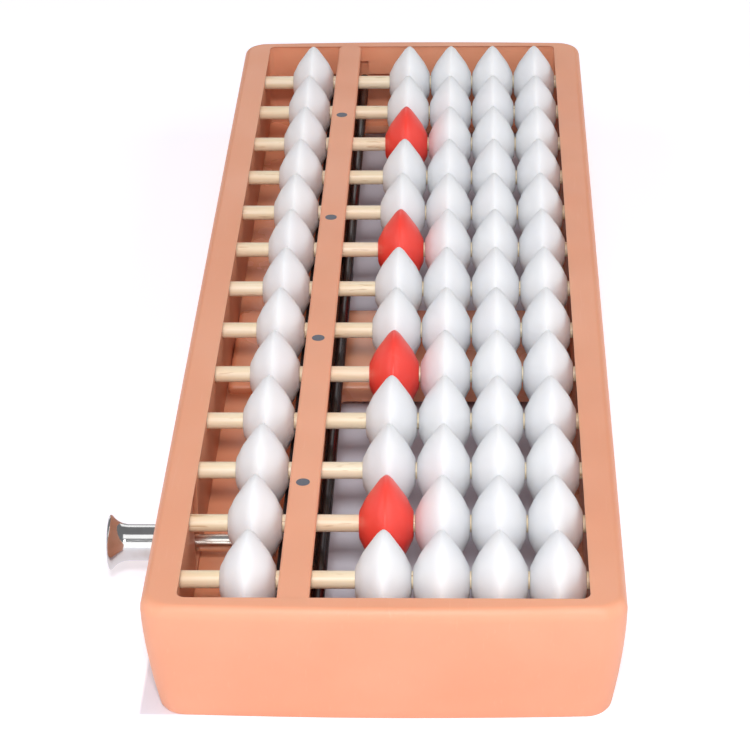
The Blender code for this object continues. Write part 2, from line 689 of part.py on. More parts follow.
def make_spring(shop):
    """The coil between the bracket and the shaft's collar, as one tube."""
    x = BUTTON_X
    radius = (SPRING_DIAMETER - SPRING_WIRE) / 2
    rise = SPRING_LENGTH - SPRING_WIRE
    count = SPRING_TURNS * SPRING_POINTS
    curve = bpy.data.curves.new("spring_path", "CURVE")
    curve.dimensions = "3D"
    curve.bevel_depth = SPRING_WIRE / 2
    curve.bevel_resolution = 1
    curve.use_fill_caps = True
    spline = curve.splines.new("POLY")
    spline.points.add(count)
    places = []
    for n in range(count + 1):
        angle = 2 * math.pi * n / SPRING_POINTS
        along = SPRING_WIRE / 2 + rise * n / count
        places.append((radius * math.cos(angle), along, radius * math.sin(angle)))
    for point, place in zip(spline.points, places):
        point.co = (*place, 1.0)
    least = min(
        math.dist(places[n], places[m])
        for n in range(count + 1)
        for m in range(n + SPRING_POINTS // 2, count + 1)
    )
    print(f"spring: least gap to itself {(least - SPRING_WIRE) / MM:.2f} mm")
    path = bpy.data.objects.new("spring_path", curve)
    shop.tools.objects.link(path)
    bpy.context.view_layer.update()
    evaluated = path.evaluated_get(bpy.context.evaluated_depsgraph_get())
    mesh = bpy.data.meshes.new_from_object(evaluated)
    bm = bmesh.new()
    bm.from_mesh(mesh)
    bmesh.ops.remove_doubles(bm, verts=bm.verts, dist=WELD)
    bm.to_mesh(mesh)
    bm.free()
    spring = shop.add("return_spring", mesh, shop.steel, smooth=True)
    spring.location = (x, spring_start(), SHAFT_HEIGHT)
    bpy.data.objects.remove(path, do_unlink=True)


def make_bars(shop):
    """The two sweep bars under the rods."""
    length = 2 * (INNER_HALF_X + BAR_SLOT_DEPTH - TOUCH_GAP)
    for name, y in (("earth_bar", EARTH_BAR_Y), ("heaven_bar", HEAVEN_BAR_Y)):
        mesh = cylinders_mesh(name, BAR_DIAMETER / 2, length, [(0, 0, 0)], "X", BAR_STEPS)
        bar = shop.add(name, mesh, shop.black, smooth=True)
        bar.location = (0, y, BAR_HEIGHT)


def saddle(shop, piece, x, y, length):
    """Cut the round seat of a bar into a carrier."""
    seat = cylinders_mesh(
        "seat",
        BAR_DIAMETER / 2 + TOUCH_GAP,
        length + 2 * OVERRUN,
        [(x, y, BAR_HEIGHT)],
        "X",
        BAR_STEPS,
    )
    combine(piece, shop.tool(f"seat_{piece.name}", seat))


def make_carriers(shop):
    """The blocks that hold the bars to the shaft and to the lever."""
    x = BUTTON_X
    drive_low = EARTH_BAR_Y - CARRIER_PAST_BARS
    drive_high = EARTH_BAR_Y + DRIVE_CARRIER_REACH
    body = box_mesh(
        "drive",
        (x - DRIVE_CARRIER_LENGTH / 2, drive_low, SHAFT_HEIGHT - DRIVE_CARRIER_BELOW_SHAFT),
        (x + DRIVE_CARRIER_LENGTH / 2, drive_high, CARRIER_TOP),
    )
    drive = shop.add("drive_carrier", body, shop.nylon)
    saddle(shop, drive, x, EARTH_BAR_Y, DRIVE_CARRIER_LENGTH)
    way = cylinders_mesh(
        "shaft_way",
        SHAFT_DIAMETER / 2 + TOUCH_GAP,
        drive_high - drive_low + 2 * OVERRUN,
        [(x, (drive_low + drive_high) / 2, SHAFT_HEIGHT)],
        "Y",
        SHAFT_STEPS,
    )
    combine(drive, shop.tool("shaft_way", way))
    arm = LEVER_COLUMN_OFFSET * COLUMN_PITCH
    bottom = CARRIER_TOP - LEVER_CARRIER_DEPTH
    places = (
        ("earth_lever_carrier", arm, EARTH_BAR_Y, 1),
        ("heaven_lever_carrier", -arm, HEAVEN_BAR_Y, -1),
    )
    for name, pin_x, y, inward in places:
        low, high = sorted((y - inward * CARRIER_PAST_BARS, y + inward * LEVER_CARRIER_REACH))
        body = box_mesh(
            name,
            (pin_x - LEVER_CARRIER_LENGTH / 2, low, bottom),
            (pin_x + LEVER_CARRIER_LENGTH / 2, high, CARRIER_TOP),
        )
        carrier = shop.add(name, body, shop.nylon)
        pin_low = LEVER_BOTTOM - PIN_BELOW_LEVER
        pin_high = bottom + LEVER_CARRIER_DEPTH * PIN_ROOT_SHARE
        pin = cylinders_mesh(
            "pin",
            PIN_DIAMETER / 2,
            pin_high - pin_low,
            [(pin_x, y + inward * PIN_FROM_BARS, (pin_high + pin_low) / 2)],
            "Z",
            ROD_STEPS,
        )
        combine(carrier, shop.tool(f"pin_{name}", pin), "UNION")
        saddle(shop, carrier, pin_x, y, LEVER_CARRIER_LENGTH)


def lever_angle():
    """How far the lever is turned at rest, so that its forks hold both pins."""
    return -math.atan2(PIN_FROM_BEAM, LEVER_COLUMN_OFFSET * COLUMN_PITCH)


def make_lever(shop):
    """The forked lever that turns the earth bar's stroke round for the heaven bar."""
    arm = LEVER_COLUMN_OFFSET * COLUMN_PITCH
    nearest = math.hypot(arm, PIN_FROM_BEAM)
    farthest = math.hypot(arm, PIN_FROM_BEAM + BUTTON_STROKE)
    half_length = farthest + LEVER_END_PAST_PIN
    body = box_mesh(
        "lever",
        (-half_length, -LEVER_WIDTH / 2, 0),
        (half_length, LEVER_WIDTH / 2, LEVER_THICKNESS),
    )
    lever = shop.add("reversing_lever", body, shop.nylon)
    lever.location = (0, BEAM_Y, LEVER_BOTTOM)
    lever.rotation_euler = (0, 0, lever_angle())
    slot_half = PIN_DIAMETER / 2 + LEVER_PIN_PLAY
    slot_start = nearest - PIN_DIAMETER / 2 - LEVER_PIN_PLAY
    for name, side in (("earth_fork", 1), ("heaven_fork", -1)):
        span = sorted((side * slot_start, side * (half_length + OVERRUN)))
        mesh = box_mesh(
            name,
            (span[0], -slot_half, -OVERRUN),
            (span[1], slot_half, LEVER_THICKNESS + OVERRUN),
        )
        fork = shop.tool(name, mesh)
        fork.location = lever.location
        fork.rotation_euler = lever.rotation_euler
        combine(lever, fork)
    hole = cylinders_mesh(
        "lever_hole",
        PIVOT_DIAMETER / 2 + TOUCH_GAP,
        LEVER_THICKNESS + 2 * OVERRUN,
        [(0, BEAM_Y, (LEVER_BOTTOM + LEVER_TOP) / 2)],
        "Z",
        ROD_STEPS,
    )
    combine(lever, shop.tool("lever_hole", hole))


def screw_profile(head, head_height, shank, length):
    """Profile of a pan-headed screw, head up, its seat at height zero."""
    crown_reach, crown_start = SCREW_CROWN_SHARES
    return [
        (0, head_height),
        (head * crown_reach, head_height),
        (head, head_height * crown_start),
        (head, 0),
        (shank, 0),
        (shank, -length),
        (0, -length),
    ]


def make_screws(shop):
    """The lever's pivot screw and the four screws under the base."""
    length = LEVER_TOP + TOUCH_GAP - BASE_UNDERSIDE
    profile = screw_profile(
        PIVOT_HEAD_DIAMETER / 2, PIVOT_HEAD_HEIGHT, PIVOT_DIAMETER / 2, length
    )
    mesh, steps = turned("lever_pivot_screw", profile, SHAFT_STEPS)
    pivot = shop.add("lever_pivot_screw", mesh, shop.steel)
    turn(pivot, steps).location = (0, BEAM_Y, LEVER_TOP + TOUCH_GAP)
    length = TOUCH_GAP + BASE_THICKNESS + SCREW_GRIP
    profile = screw_profile(
        SCREW_HEAD_DIAMETER / 2, SCREW_HEAD_HEIGHT, SCREW_DIAMETER / 2, length
    )
    for number, column in enumerate(PILLAR_COLUMNS, 1):
        mesh, steps = turned("base_screw", profile, ROD_STEPS)
        screw = turn(shop.add(f"base_screw_{number}", mesh, shop.steel), steps)
        screw.rotation_euler = (math.pi, 0, 0)
        screw.location = (column_x(column), BEAM_Y, BASE_UNDERSIDE - TOUCH_GAP)


def main():
    """Build every piece in the order in which it goes together."""
    clear_scene()
    shop = Workshop()
    bore_length = 2 * (INNER_HALF_Y + ROD_END_DEPTH + TOUCH_GAP)
    bores = cylinders_mesh(
        "rod_bores",
        ROD_DIAMETER / 2 + TOUCH_GAP,
        bore_length,
        [(column_x(c), 0, ROD_HEIGHT) for c in range(1, COLUMN_COUNT + 1)],
        "Y",
        ROD_STEPS,
    )
    rod_bores = shop.tool("rod_bores", bores)
    make_frame(shop, rod_bores)
    make_beam(shop, rod_bores)
    make_base(shop)
    make_columns(shop)
    make_bars(shop)
    make_carriers(shop)
    make_lever(shop)
    make_button(shop)
    make_spring(shop)
    make_screws(shop)


main()
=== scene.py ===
"""Dresses the one-touch abacus and sets it in the studio.

Lengths are in millimetres where a name ends in _mm, and in metres everywhere else. +X runs
along the frame to the end away from the button, +Y to the rail with the button, +Z up.
"""

import logging
import math
from collections.abc import Callable, Sequence
from dataclasses import dataclass, field
from enum import Enum
from typing import Any

import bmesh
import bpy
from bmesh.types import BMesh
from bpy.types import Material, Node, NodeSocket, NodeTree, Object
from mathutils import Matrix, Vector

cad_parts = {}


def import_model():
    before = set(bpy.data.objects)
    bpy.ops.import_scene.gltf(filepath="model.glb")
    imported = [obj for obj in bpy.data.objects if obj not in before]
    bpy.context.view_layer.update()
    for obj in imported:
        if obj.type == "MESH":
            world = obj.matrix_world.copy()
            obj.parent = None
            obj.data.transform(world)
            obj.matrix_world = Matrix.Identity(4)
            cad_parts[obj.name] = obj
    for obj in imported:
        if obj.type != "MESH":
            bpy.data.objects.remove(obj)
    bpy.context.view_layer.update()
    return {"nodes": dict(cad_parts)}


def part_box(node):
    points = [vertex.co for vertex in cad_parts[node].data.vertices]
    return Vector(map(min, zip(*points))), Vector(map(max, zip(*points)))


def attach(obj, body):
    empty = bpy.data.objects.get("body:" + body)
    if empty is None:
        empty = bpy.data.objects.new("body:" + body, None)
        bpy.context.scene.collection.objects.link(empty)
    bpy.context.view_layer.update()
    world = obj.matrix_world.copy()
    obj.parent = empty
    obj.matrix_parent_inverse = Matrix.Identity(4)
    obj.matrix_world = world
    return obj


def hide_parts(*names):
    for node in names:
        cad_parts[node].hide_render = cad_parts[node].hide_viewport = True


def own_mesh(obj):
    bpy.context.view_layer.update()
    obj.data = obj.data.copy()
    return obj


LOG = logging.getLogger("abacus")
MM = 0.001
PHOTO_PIXELS = 750

# points of an outline, each two lengths
Outline = tuple[tuple[float, float], ...]

# segments of round bars, of trays' corners and across their ends
BAR_SIDES = 32
CORNER_STEPS = 8
CROWN_STEPS = 12

# points closer than this are one
WELD = 0.001 * MM

# the columns, and sizes that several parts share
MARKS = [f"{column:02d}" for column in range(1, 14)]
MIDDLE_COLUMN = 7
COLUMN_PITCH_MM = 14.5
ROD_WAY_MM = 1.42
END_WALL_MM = 2.8
STROKE_MM = 4.8
BASE_SCREWS = [f"base_screw_{number}" for number in range(1, 5)]


class Body(Enum):
    """The bodies of the moving gear that have a name of their own."""

    FRAME = "frame_unit"
    BUTTON = "button_unit"
    HEAVEN = "heaven_sweep"


class Slot(Enum):
    """The record's material slots."""

    SALMON = "salmon_plastic"
    WHITE = "white_plastic"
    RED = "red_plastic"
    BAMBOO = "bamboo"
    BLACK = "blackened_steel"
    CHROME = "chromed_steel"
    ZINC = "zinc_steel"
    NYLON = "black_nylon"


# Colour and nodes


def linear(code: str) -> tuple[float, float, float, float]:
    """Turn an sRGB hex colour to a linear one.

    Args:
        code: Six hex digits, with or without a leading #.

    Returns:
        Red, green, blue and an alpha of 1.
    """
    digits = code.lstrip("#")
    levels = [int(digits[n : n + 2], 16) / 255 for n in (0, 2, 4)]
    bent = [v / 12.92 if v <= 0.04045 else ((v + 0.055) / 1.055) ** 2.4 for v in levels]
    return (bent[0], bent[1], bent[2], 1.0)


def add_node(
    tree: NodeTree,
    kind: str,
    sockets: dict[str | int, Any] | None = None,
    **settings: Any,
) -> Node:
    """Add a node with its settings and links.

    Args:
        tree: The node tree of a material or the world.
        kind: The node's type name.
        sockets: For each input, a value or the output socket that feeds it.
        **settings: The node's own properties.

    Returns:
        The new node.
    """
    made = tree.nodes.new(kind)
    for name, value in settings.items():
        setattr(made, name, value)
    for name, value in (sockets or {}).items():
        if isinstance(value, NodeSocket):
            tree.links.new(value, made.inputs[name])
        else:
            made.inputs[name].default_value = value
    return made


@dataclass(frozen=True)
class Canvas:
    """The start of a material: its tree, shader and the coordinates of the piece."""

    material: Material
    tree: NodeTree
    shader: Node
    place: NodeSocket

    @classmethod
    def blank(cls, name: str) -> "Canvas":
        """Make a material with nothing but its shader and object coordinates.

        Args:
            name: The material's name.

        Returns:
            The canvas, ready for its patterns.
        """
        material = bpy.data.materials.new(name)
        material.use_nodes = True
        tree = material.node_tree
        shader = tree.nodes["Principled BSDF"]
        coordinates = add_node(tree, "ShaderNodeTexCoord")
        return cls(material, tree, shader, coordinates.outputs["Object"])

    def noise(
        self,
        size_mm: Sequence[float],
        detail: float = 2.0,
        roughness: float = 0.5,
        offset: float = 0.0,
    ) -> NodeSocket:
        """Noise whose grains measure about size_mm along X, Y and Z.

        Args:
            size_mm: Real size of a grain along each axis.
            detail: Octaves of finer noise.
            roughness: Weight of the finer noise.
            offset: Shift that sets one pattern apart from another.

        Returns:
            The noise's factor, around one half.
        """
        scale = [1.0 / (s * MM) for s in size_mm]
        mapped = {"Vector": self.place, "Scale": scale, "Location": (offset, offset, offset)}
        place = add_node(self.tree, "ShaderNodeMapping", mapped).outputs["Vector"]
        grain = {"Vector": place, "Scale": 1.0, "Detail": detail, "Roughness": roughness}
        return add_node(self.tree, "ShaderNodeTexNoise", grain).outputs["Fac"]

    def between(
        self, amount: NodeSocket, low: Sequence[float], high: Sequence[float]
    ) -> NodeSocket:
        """Map a factor from one range to another.

        Args:
            amount: The factor.
            low: Factor and result at the low end.
            high: Factor and result at the high end.

        Returns:
            The mapped value, held inside its range.
        """
        ends = dict(zip(("From Min", "To Min", "From Max", "To Max"), (*low, *high)))
        made = add_node(self.tree, "ShaderNodeMapRange", {"Value": amount, **ends})
        return made.outputs["Result"]

    def blend(
        self, amount: NodeSocket, first: str | NodeSocket, second: str | NodeSocket
    ) -> NodeSocket:
        """Mix two colours.

        Args:
            amount: Share of the second.
            first: A hex code or a socket.
            second: Another.

        Returns:
            The mixed colour.
        """
        colours = [linear(c) if isinstance(c, str) else c for c in (first, second)]
        values = {0: amount, 6: colours[0], 7: colours[1]}
        return add_node(self.tree, "ShaderNodeMix", values, data_type="RGBA").outputs[2]

    def reckon(self, operation: str, *values: float | NodeSocket) -> NodeSocket:
        """Work out a sum, product or the like of values and sockets."""
        terms = dict(enumerate(values))
        return add_node(self.tree, "ShaderNodeMath", terms, operation=operation).outputs[0]

    def bump(self, height: NodeSocket, depth_mm: float) -> None:
        """Raise the surface by a pattern.

        Args:
            height: The pattern.
            depth_mm: Its real depth.
        """
        relief = {"Height": height, "Distance": depth_mm * MM, "Strength": 1.0}
        made = add_node(self.tree, "ShaderNodeBump", relief)
        self.feed("Normal", made.outputs["Normal"])

    def feed(self, name: str, value: NodeSocket) -> None:
        """Link a socket to one of the shader's inputs."""
        self.tree.links.new(value, self.shader.inputs[name])

    def fix(self, **values: Any) -> None:
        """Set constants on the shader, each input written with _ for a space."""
        for name, value in values.items():
            self.shader.inputs[name.replace("_", " ")].default_value = value


# Finishes


@dataclass(frozen=True)
class MouldedPolystyrene:
    """Injection-moulded polystyrene of the frame, beam and base."""

    name: str
    light: str
    deep: str
    roughness: float
    sheen_rub_colour: str = "#F6BE9E"

    def material(self) -> Material:
        """Build the finish.

        Returns:
            A satin plastic whose colour wanders a little where the melt flowed, with the fine
            orange peel of a polished mould and faint rub marks painted lighter, a painted sheen.
        """
        made = Canvas.blank(self.name)
        flow = made.noise((46.0, 30.0, 24.0), detail=3.0)
        colour = made.blend(made.between(flow, (0.35, 0.0), (0.65, 1.0)), self.light, self.deep)
        # rub marks: real wear, painted lighter in colour as a sheen where they catch the light
        sheen_rub_grain = made.noise((9.0, 0.5, 2.5), detail=4.0, roughness=0.6, offset=7.0)
        sheen_rub_share = made.between(sheen_rub_grain, (0.62, 0.0), (0.8, 0.22))
        made.feed("Base Color", made.blend(sheen_rub_share, colour, self.sheen_rub_colour))
        gloss = made.noise((14.0, 14.0, 14.0), detail=3.0, offset=3.0)
        satin = made.between(gloss, (0.3, self.roughness - 0.06), (0.7, self.roughness + 0.07))
        made.feed("Roughness", satin)
        # real orange peel is about 0.4 mm across; drawn at 0.6 mm so that it shows
        made.bump(made.noise((0.6, 0.6, 0.6), detail=1.0), 0.006)
        made.fix(IOR=1.59, Subsurface_Weight=0.12, Subsurface_Scale=1.2 * MM)
        made.fix(Subsurface_Radius=(1.0, 0.45, 0.25))
        return made.material


@dataclass(frozen=True)
class MouldedBead:
    """Milky thermoplastic beads, white or red."""

    name: str
    body: str
    tint: str
    worn: str
    # how far red, green and blue light spreads inside, as shares of reach_mm
    glow: tuple[float, float, float]
    roughness: float
    gloss: float
    # share of the light that goes in
    depth: float
    reach_mm: float = 1.6

    def material(self) -> Material:
        """Build the finish.

        Returns:
            A satin plastic that lets light in, so that thin edges glow, with a faint handling
            film and fine wear from being flicked.
        """
        made = Canvas.blank(self.name)
        cloud = made.noise((11.0, 11.0, 11.0), detail=2.0)
        colour = made.blend(made.between(cloud, (0.35, 0.0), (0.65, 1.0)), self.body, self.tint)
        film = made.noise((2.4, 3.0, 2.4), detail=4.0, roughness=0.65, offset=5.0)
        wear = made.between(film, (0.58, 0.0), (0.78, 0.3))
        made.feed("Base Color", made.blend(wear, colour, self.worn))
        satin = made.between(film, (0.3, self.roughness - 0.05), (0.7, self.roughness + 0.1))
        made.feed("Roughness", satin)
        # shrink marks of a thick moulding, 3 mm apart and a few hundredths deep
        made.bump(made.noise((3.0, 3.0, 3.0), detail=1.0, offset=2.0), 0.02)
        made.fix(IOR=1.5, Specular_IOR_Level=self.gloss, Subsurface_Weight=self.depth)
        made.fix(Subsurface_Radius=self.glow, Subsurface_Scale=self.reach_mm * MM)
        return made.material


@dataclass(frozen=True)
class SplitBamboo:
    """Rods of split bamboo, scraped round and polished."""

    name: str = "split_bamboo"

    def material(self) -> Material:
        """Build the finish.

        Returns:
            Straw-coloured wood with straight fibres along the rod, darker vessel streaks and
            the soft sheen of a rod that beads have slid on.
        """
        made = Canvas.blank(self.name)
        # fibre bundles are about 0.2 mm wide; drawn at 0.32 mm so that they show
        fibres = made.noise((0.32, 14.0, 0.32), detail=3.0, roughness=0.6)
        straw = made.blend(made.between(fibres, (0.38, 0.0), (0.64, 1.0)), "#FEF0D6", "#F7E5C2")
        vessels = made.noise((0.5, 5.0, 0.5), detail=2.0, offset=11.0)
        streak = made.between(vessels, (0.63, 0.0), (0.74, 0.75))
        colour = made.blend(streak, straw, "#B98A50")
        tone = made.noise((9.0, 40.0, 9.0), detail=1.0, offset=4.0)
        toned = made.between(tone, (0.4, 0.0), (0.62, 0.35))
        made.feed("Base Color", made.blend(toned, colour, "#ECD0A6"))
        made.feed("Roughness", made.between(fibres, (0.3, 0.36), (0.7, 0.52)))
        made.bump(fibres, 0.02)
        made.fix(IOR=1.5, Coat_Weight=0.15, Coat_Roughness=0.3)
        return made.material


@dataclass(frozen=True)
class DrawnMetal:
    """Drawn or turned metal, plated or blackened."""

    name: str
    bright: str
    dull: str
    metallic: float
    roughness: tuple[float, float]
    grain_mm: tuple[float, float, float]
    grain_depth_mm: float = 0.002

    def material(self) -> Material:
        """Build the finish.

        Returns:
            A metal with the fine lines of its drawing or turning and a few dull spots.
        """
        made = Canvas.blank(self.name)
        lines = made.noise(self.grain_mm, detail=3.0, roughness=0.6)
        spots = made.noise((4.0, 4.0, 4.0), detail=3.0, offset=9.0)
        dulled = made.between(spots, (0.5, 0.0), (0.75, 0.8))
        made.feed("Base Color", made.blend(dulled, self.bright, self.dull))
        low, high = self.roughness
        made.feed("Roughness", made.between(lines, (0.3, low), (0.7, high)))
        made.bump(lines, self.grain_depth_mm)
        made.fix(Metallic=self.metallic)
        return made.material


@dataclass(frozen=True)
class FilledNylon:
    """Black nylon of the carriers and the lever, moulded with glass fibre."""

    name: str = "glass_filled_nylon"

    def material(self) -> Material:
        """Build the finish.

        Returns:
            A dull black plastic with the grey fleck of fibres at its skin.
        """
        made = Canvas.blank(self.name)
        fleck = made.noise((0.35, 1.6, 0.35), detail=3.0, roughness=0.7)
        amount = made.between(fleck, (0.55, 0.0), (0.75, 0.6))
        made.feed("Base Color", made.blend(amount, "#232426", "#4A4B4C"))
        made.feed("Roughness", made.between(fleck, (0.3, 0.42), (0.7, 0.6)))
        made.bump(fleck, 0.01)
        made.fix(IOR=1.53)
        return made.material


@dataclass(frozen=True)
class PrintedInk:
    """Pad-printed dots on the beam."""

    name: str = "printed_ink"

    def material(self) -> Material:
        """Build the finish.

        Returns:
            A flat grey-blue ink that covers a little unevenly.
        """
        made = Canvas.blank(self.name)
        cover = made.noise((0.25, 0.25, 0.25), detail=3.0)
        amount = made.between(cover, (0.5, 0.0), (0.8, 0.5))
        made.feed("Base Color", made.blend(amount, "#5B5F6A", "#8B7A78"))
        made.feed("Roughness", made.between(cover, (0.3, 0.45), (0.7, 0.6)))
        return made.material


@dataclass(frozen=True)
class TableTop:
    """The pale table, white where nothing stands on it."""

    name: str = "pale_table"
    colour: str = "#ECEAF4"
    cloud: str = "#EBEAF5"
    lift: float = 0.38
    foot_half_mm: tuple[float, float] = (97.2, 29.4)
    fade_mm: float = 0.5

    def material(self) -> Material:
        """Build the finish.

        Returns:
            A matt pale surface that keeps the object's shadow and looks white to the camera
            and in reflections.
        """
        made = Canvas.blank(self.name)
        grain = made.noise((30.0, 30.0, 30.0), detail=2.0)
        made.feed("Base Color", made.blend(grain, self.colour, self.cloud))
        path = add_node(made.tree, "ShaderNodeLightPath")
        seen = path.outputs["Is Camera Ray"]
        for ray in ("Is Glossy Ray", "Is Transmission Ray"):
            seen = made.reckon("MAXIMUM", seen, path.outputs[ray])
        # the lift stops at the frame's foot: hardly any light comes inside
        axes = add_node(made.tree, "ShaderNodeSeparateXYZ", {"Vector": made.place})
        clear = []
        for axis, half in zip("XY", self.foot_half_mm):
            away = made.reckon("ABSOLUTE", axes.outputs[axis])
            clear.append(made.between(away, (half * MM, 0.0), ((half + self.fade_mm) * MM, 1.0)))
        lift = made.reckon("MULTIPLY", made.reckon("MAXIMUM", *clear), self.lift)
        made.feed("Emission Strength", made.reckon("MULTIPLY", lift, seen))
        made.fix(Roughness=0.7, Specular_IOR_Level=0.2, Emission_Color=linear("#FFFFFF"))
        return made.material


# Shapes


def all_of(bm: BMesh) -> list[Any]:
    """Every vertex, edge and face of a mesh."""
    return [*bm.verts, *bm.edges, *bm.faces]


def round_edges(bm: BMesh, edges: Sequence[Any], radius: float, steps: int = 3) -> None:
    """Round some edges of a mesh.

    Args:
        bm: The mesh.
        edges: Those to round.
        radius: How far the rounding reaches.
        steps: Its segments.
    """
    bmesh.ops.bevel(
        bm, geom=edges, offset=radius, segments=steps, profile=0.5, affect="EDGES", material=-1
    )


def block(
    low: Sequence[float], high: Sequence[float], round_off: float = 0.0, steps: int = 3
) -> BMesh:
    """A box between two corners, its edges rounded.

    Args:
        low: Lowest corner.
        high: Highest corner.
        round_off: Radius of the edges, or 0 for sharp ones.
        steps: Segments of each rounded edge.

    Returns:
        The new mesh.
    """
    bm = bmesh.new()
    bmesh.ops.create_cube(bm, size=1.0)
    size = Vector(high) - Vector(low)
    bmesh.ops.scale(bm, vec=size, verts=bm.verts)
    bmesh.ops.translate(bm, vec=(Vector(high) + Vector(low)) / 2, verts=bm.verts)
    if round_off:
        round_edges(bm, bm.edges[:], round_off, steps)
    return bm


def rod(
    centre: Sequence[float], radius: float, length: float, axis: str, chamfer: float = 0.0
) -> BMesh:
    """A round bar along one axis.

    Args:
        centre: Middle of the bar.
        radius: Its radius.
        length: Its length.
        axis: "X", "Y" or "Z".
        chamfer: Size of the rounding at its ends.

    Returns:
        The new mesh.
    """
    bm = bmesh.new()
    bmesh.ops.create_cone(
        bm, cap_ends=True, segments=BAR_SIDES, radius1=radius, radius2=radius, depth=length
    )
    if chamfer:
        rims = [e for e in bm.edges if abs(e.verts[0].co.z - e.verts[1].co.z) < length / 2]
        round_edges(bm, rims, chamfer)
    if axis == "X":
        bmesh.ops.rotate(bm, matrix=Matrix.Rotation(math.pi / 2, 3, "Y"), verts=bm.verts)
    if axis == "Y":
        bmesh.ops.rotate(bm, matrix=Matrix.Rotation(-math.pi / 2, 3, "X"), verts=bm.verts)
    bmesh.ops.translate(bm, vec=centre, verts=bm.verts)
    return bm


def lathe(
    profile: Sequence[tuple[float, float]],
    origin: Sequence[float],
    steps: int = 48,
    ring: bool = False,
) -> BMesh:
    """Turn a profile about a line along Y.

    Args:
        profile: Radius and place along Y of each point in millimetres, from origin.
        origin: Point on the axis.
        steps: Segments of the full turn.
        ring: True if the last point joins the first, as on a piece with a bore.

    Returns:
        The closed mesh, its faces pointing outwards.
    """
    bm = bmesh.new()
    verts = [bm.verts.new((r * MM, along * MM, 0.0)) for r, along in profile]
    pairs = list(zip(verts, verts[1:]))
    if ring:
        pairs.append((verts[-1], verts[0]))
    edges = [bm.edges.new(pair) for pair in pairs]
    geom = [*verts, *edges]
    whole = {"cent": (0, 0, 0), "axis": (0, 1, 0), "angle": 2 * math.pi, "use_merge": True}
    bmesh.ops.spin(bm, geom=geom, steps=steps, **whole)
    bmesh.ops.remove_doubles(bm, verts=bm.verts, dist=WELD / 2)
    bmesh.ops.recalc_face_normals(bm, faces=bm.faces)
    bmesh.ops.translate(bm, vec=origin, verts=bm.verts)
    return bm


def tray(
    half: tuple[float, float],
    corner: float,
    levels: Sequence[float],
    inset: Callable[[float], float] | None = None,
    crown: float = 0.0,
    centre_y: float = 0.0,
) -> BMesh:
    """A block with rounded corners whose walls follow an inset and whose ends are crowned.

    Args:
        half: Half length and half width.
        corner: Radius of the upright corners.
        levels: Heights of the rings of edges, from the bottom to the top.
        inset: How far the wall is drawn in at a height, if it isn't upright.
        crown: How far the ends stand out at their middle.
        centre_y: Place of the middle along Y.

    Returns:
        The new mesh.
    """
    bm = bmesh.new()
    low, high = levels[0], levels[-1]
    bmesh.ops.create_cube(bm, size=1.0)
    bmesh.ops.scale(bm, vec=(2 * half[0], 2 * half[1], high - low), verts=bm.verts)
    bmesh.ops.translate(bm, vec=(0, 0, (high + low) / 2), verts=bm.verts)
    uprights = [e for e in bm.edges if abs(e.verts[0].co.z - e.verts[1].co.z) > MM]
    round_edges(bm, uprights, corner, CORNER_STEPS)
    for level in levels[1:-1]:
        bmesh.ops.bisect_plane(bm, geom=all_of(bm), plane_co=(0, 0, level), plane_no=(0, 0, 1))
    if crown:
        for step in range(1, CROWN_STEPS):
            at = half[1] * (2 * step / CROWN_STEPS - 1)
            bmesh.ops.bisect_plane(bm, geom=all_of(bm), plane_co=(0, at, 0), plane_no=(0, 1, 0))
    # points on the middle planes stay there
    for vert in bm.verts:
        drawn = inset(vert.co.z) if inset else 0.0
        bulge = crown * (vert.co.y / half[1]) ** 2
        if abs(vert.co.x) > MM / 10:
            vert.co.x -= math.copysign(drawn + bulge, vert.co.x)
        if abs(vert.co.y) > MM / 10:
            vert.co.y -= math.copysign(drawn, vert.co.y)
    bmesh.ops.translate(bm, vec=(0, centre_y, 0), verts=bm.verts)
    return bm


def placed(name: str, bm: BMesh) -> Object:
    """Put a mesh in the scene as an object.

    Args:
        name: The object's name.
        bm: The mesh, which is freed.

    Returns:
        The new object.
    """
    mesh = bpy.data.meshes.new(name)
    bm.to_mesh(mesh)
    bm.free()
    made = bpy.data.objects.new(name, mesh)
    bpy.context.scene.collection.objects.link(made)
    return made


def shaped(bm: BMesh, steps: Sequence[tuple[str, BMesh]]) -> BMesh:
    """Cut away from or join on to a mesh, one body after another.

    Args:
        bm: The mesh to start from, which is freed.
        steps: "DIFFERENCE" or "UNION" and the other mesh, which is freed.

    Returns:
        The finished mesh.
    """
    base = placed("shaping", bm)
    others = []
    for kind, other in steps:
        tool = placed("shaping_tool", other)
        others.append(tool)
        modifier = base.modifiers.new("shape", "BOOLEAN")
        modifier.operation = kind
        modifier.solver = "EXACT"
        modifier.object = tool
    graph = bpy.context.evaluated_depsgraph_get()
    mesh = bpy.data.meshes.new_from_object(base.evaluated_get(graph))
    made = bmesh.new()
    made.from_mesh(mesh)
    bpy.data.meshes.remove(mesh)
    for old in [base, *others]:
        bpy.data.objects.remove(old, do_unlink=True)
    bmesh.ops.remove_doubles(made, verts=made.verts, dist=WELD)
    return made


def joined(meshes: Sequence[BMesh]) -> BMesh:
    """Gather meshes that don't touch into one.

    Args:
        meshes: The meshes, which are freed.

    Returns:
        The whole.
    """
    whole = bmesh.new()
    for part in meshes:
        mesh = bpy.data.meshes.new("gathered")
        part.to_mesh(mesh)
        part.free()
        whole.from_mesh(mesh)
        bpy.data.meshes.remove(mesh)
    return whole


Moulded = MouldedPolystyrene | MouldedBead | FilledNylon
Finish = Moulded | SplitBamboo | DrawnMetal | PrintedInk | TableTop


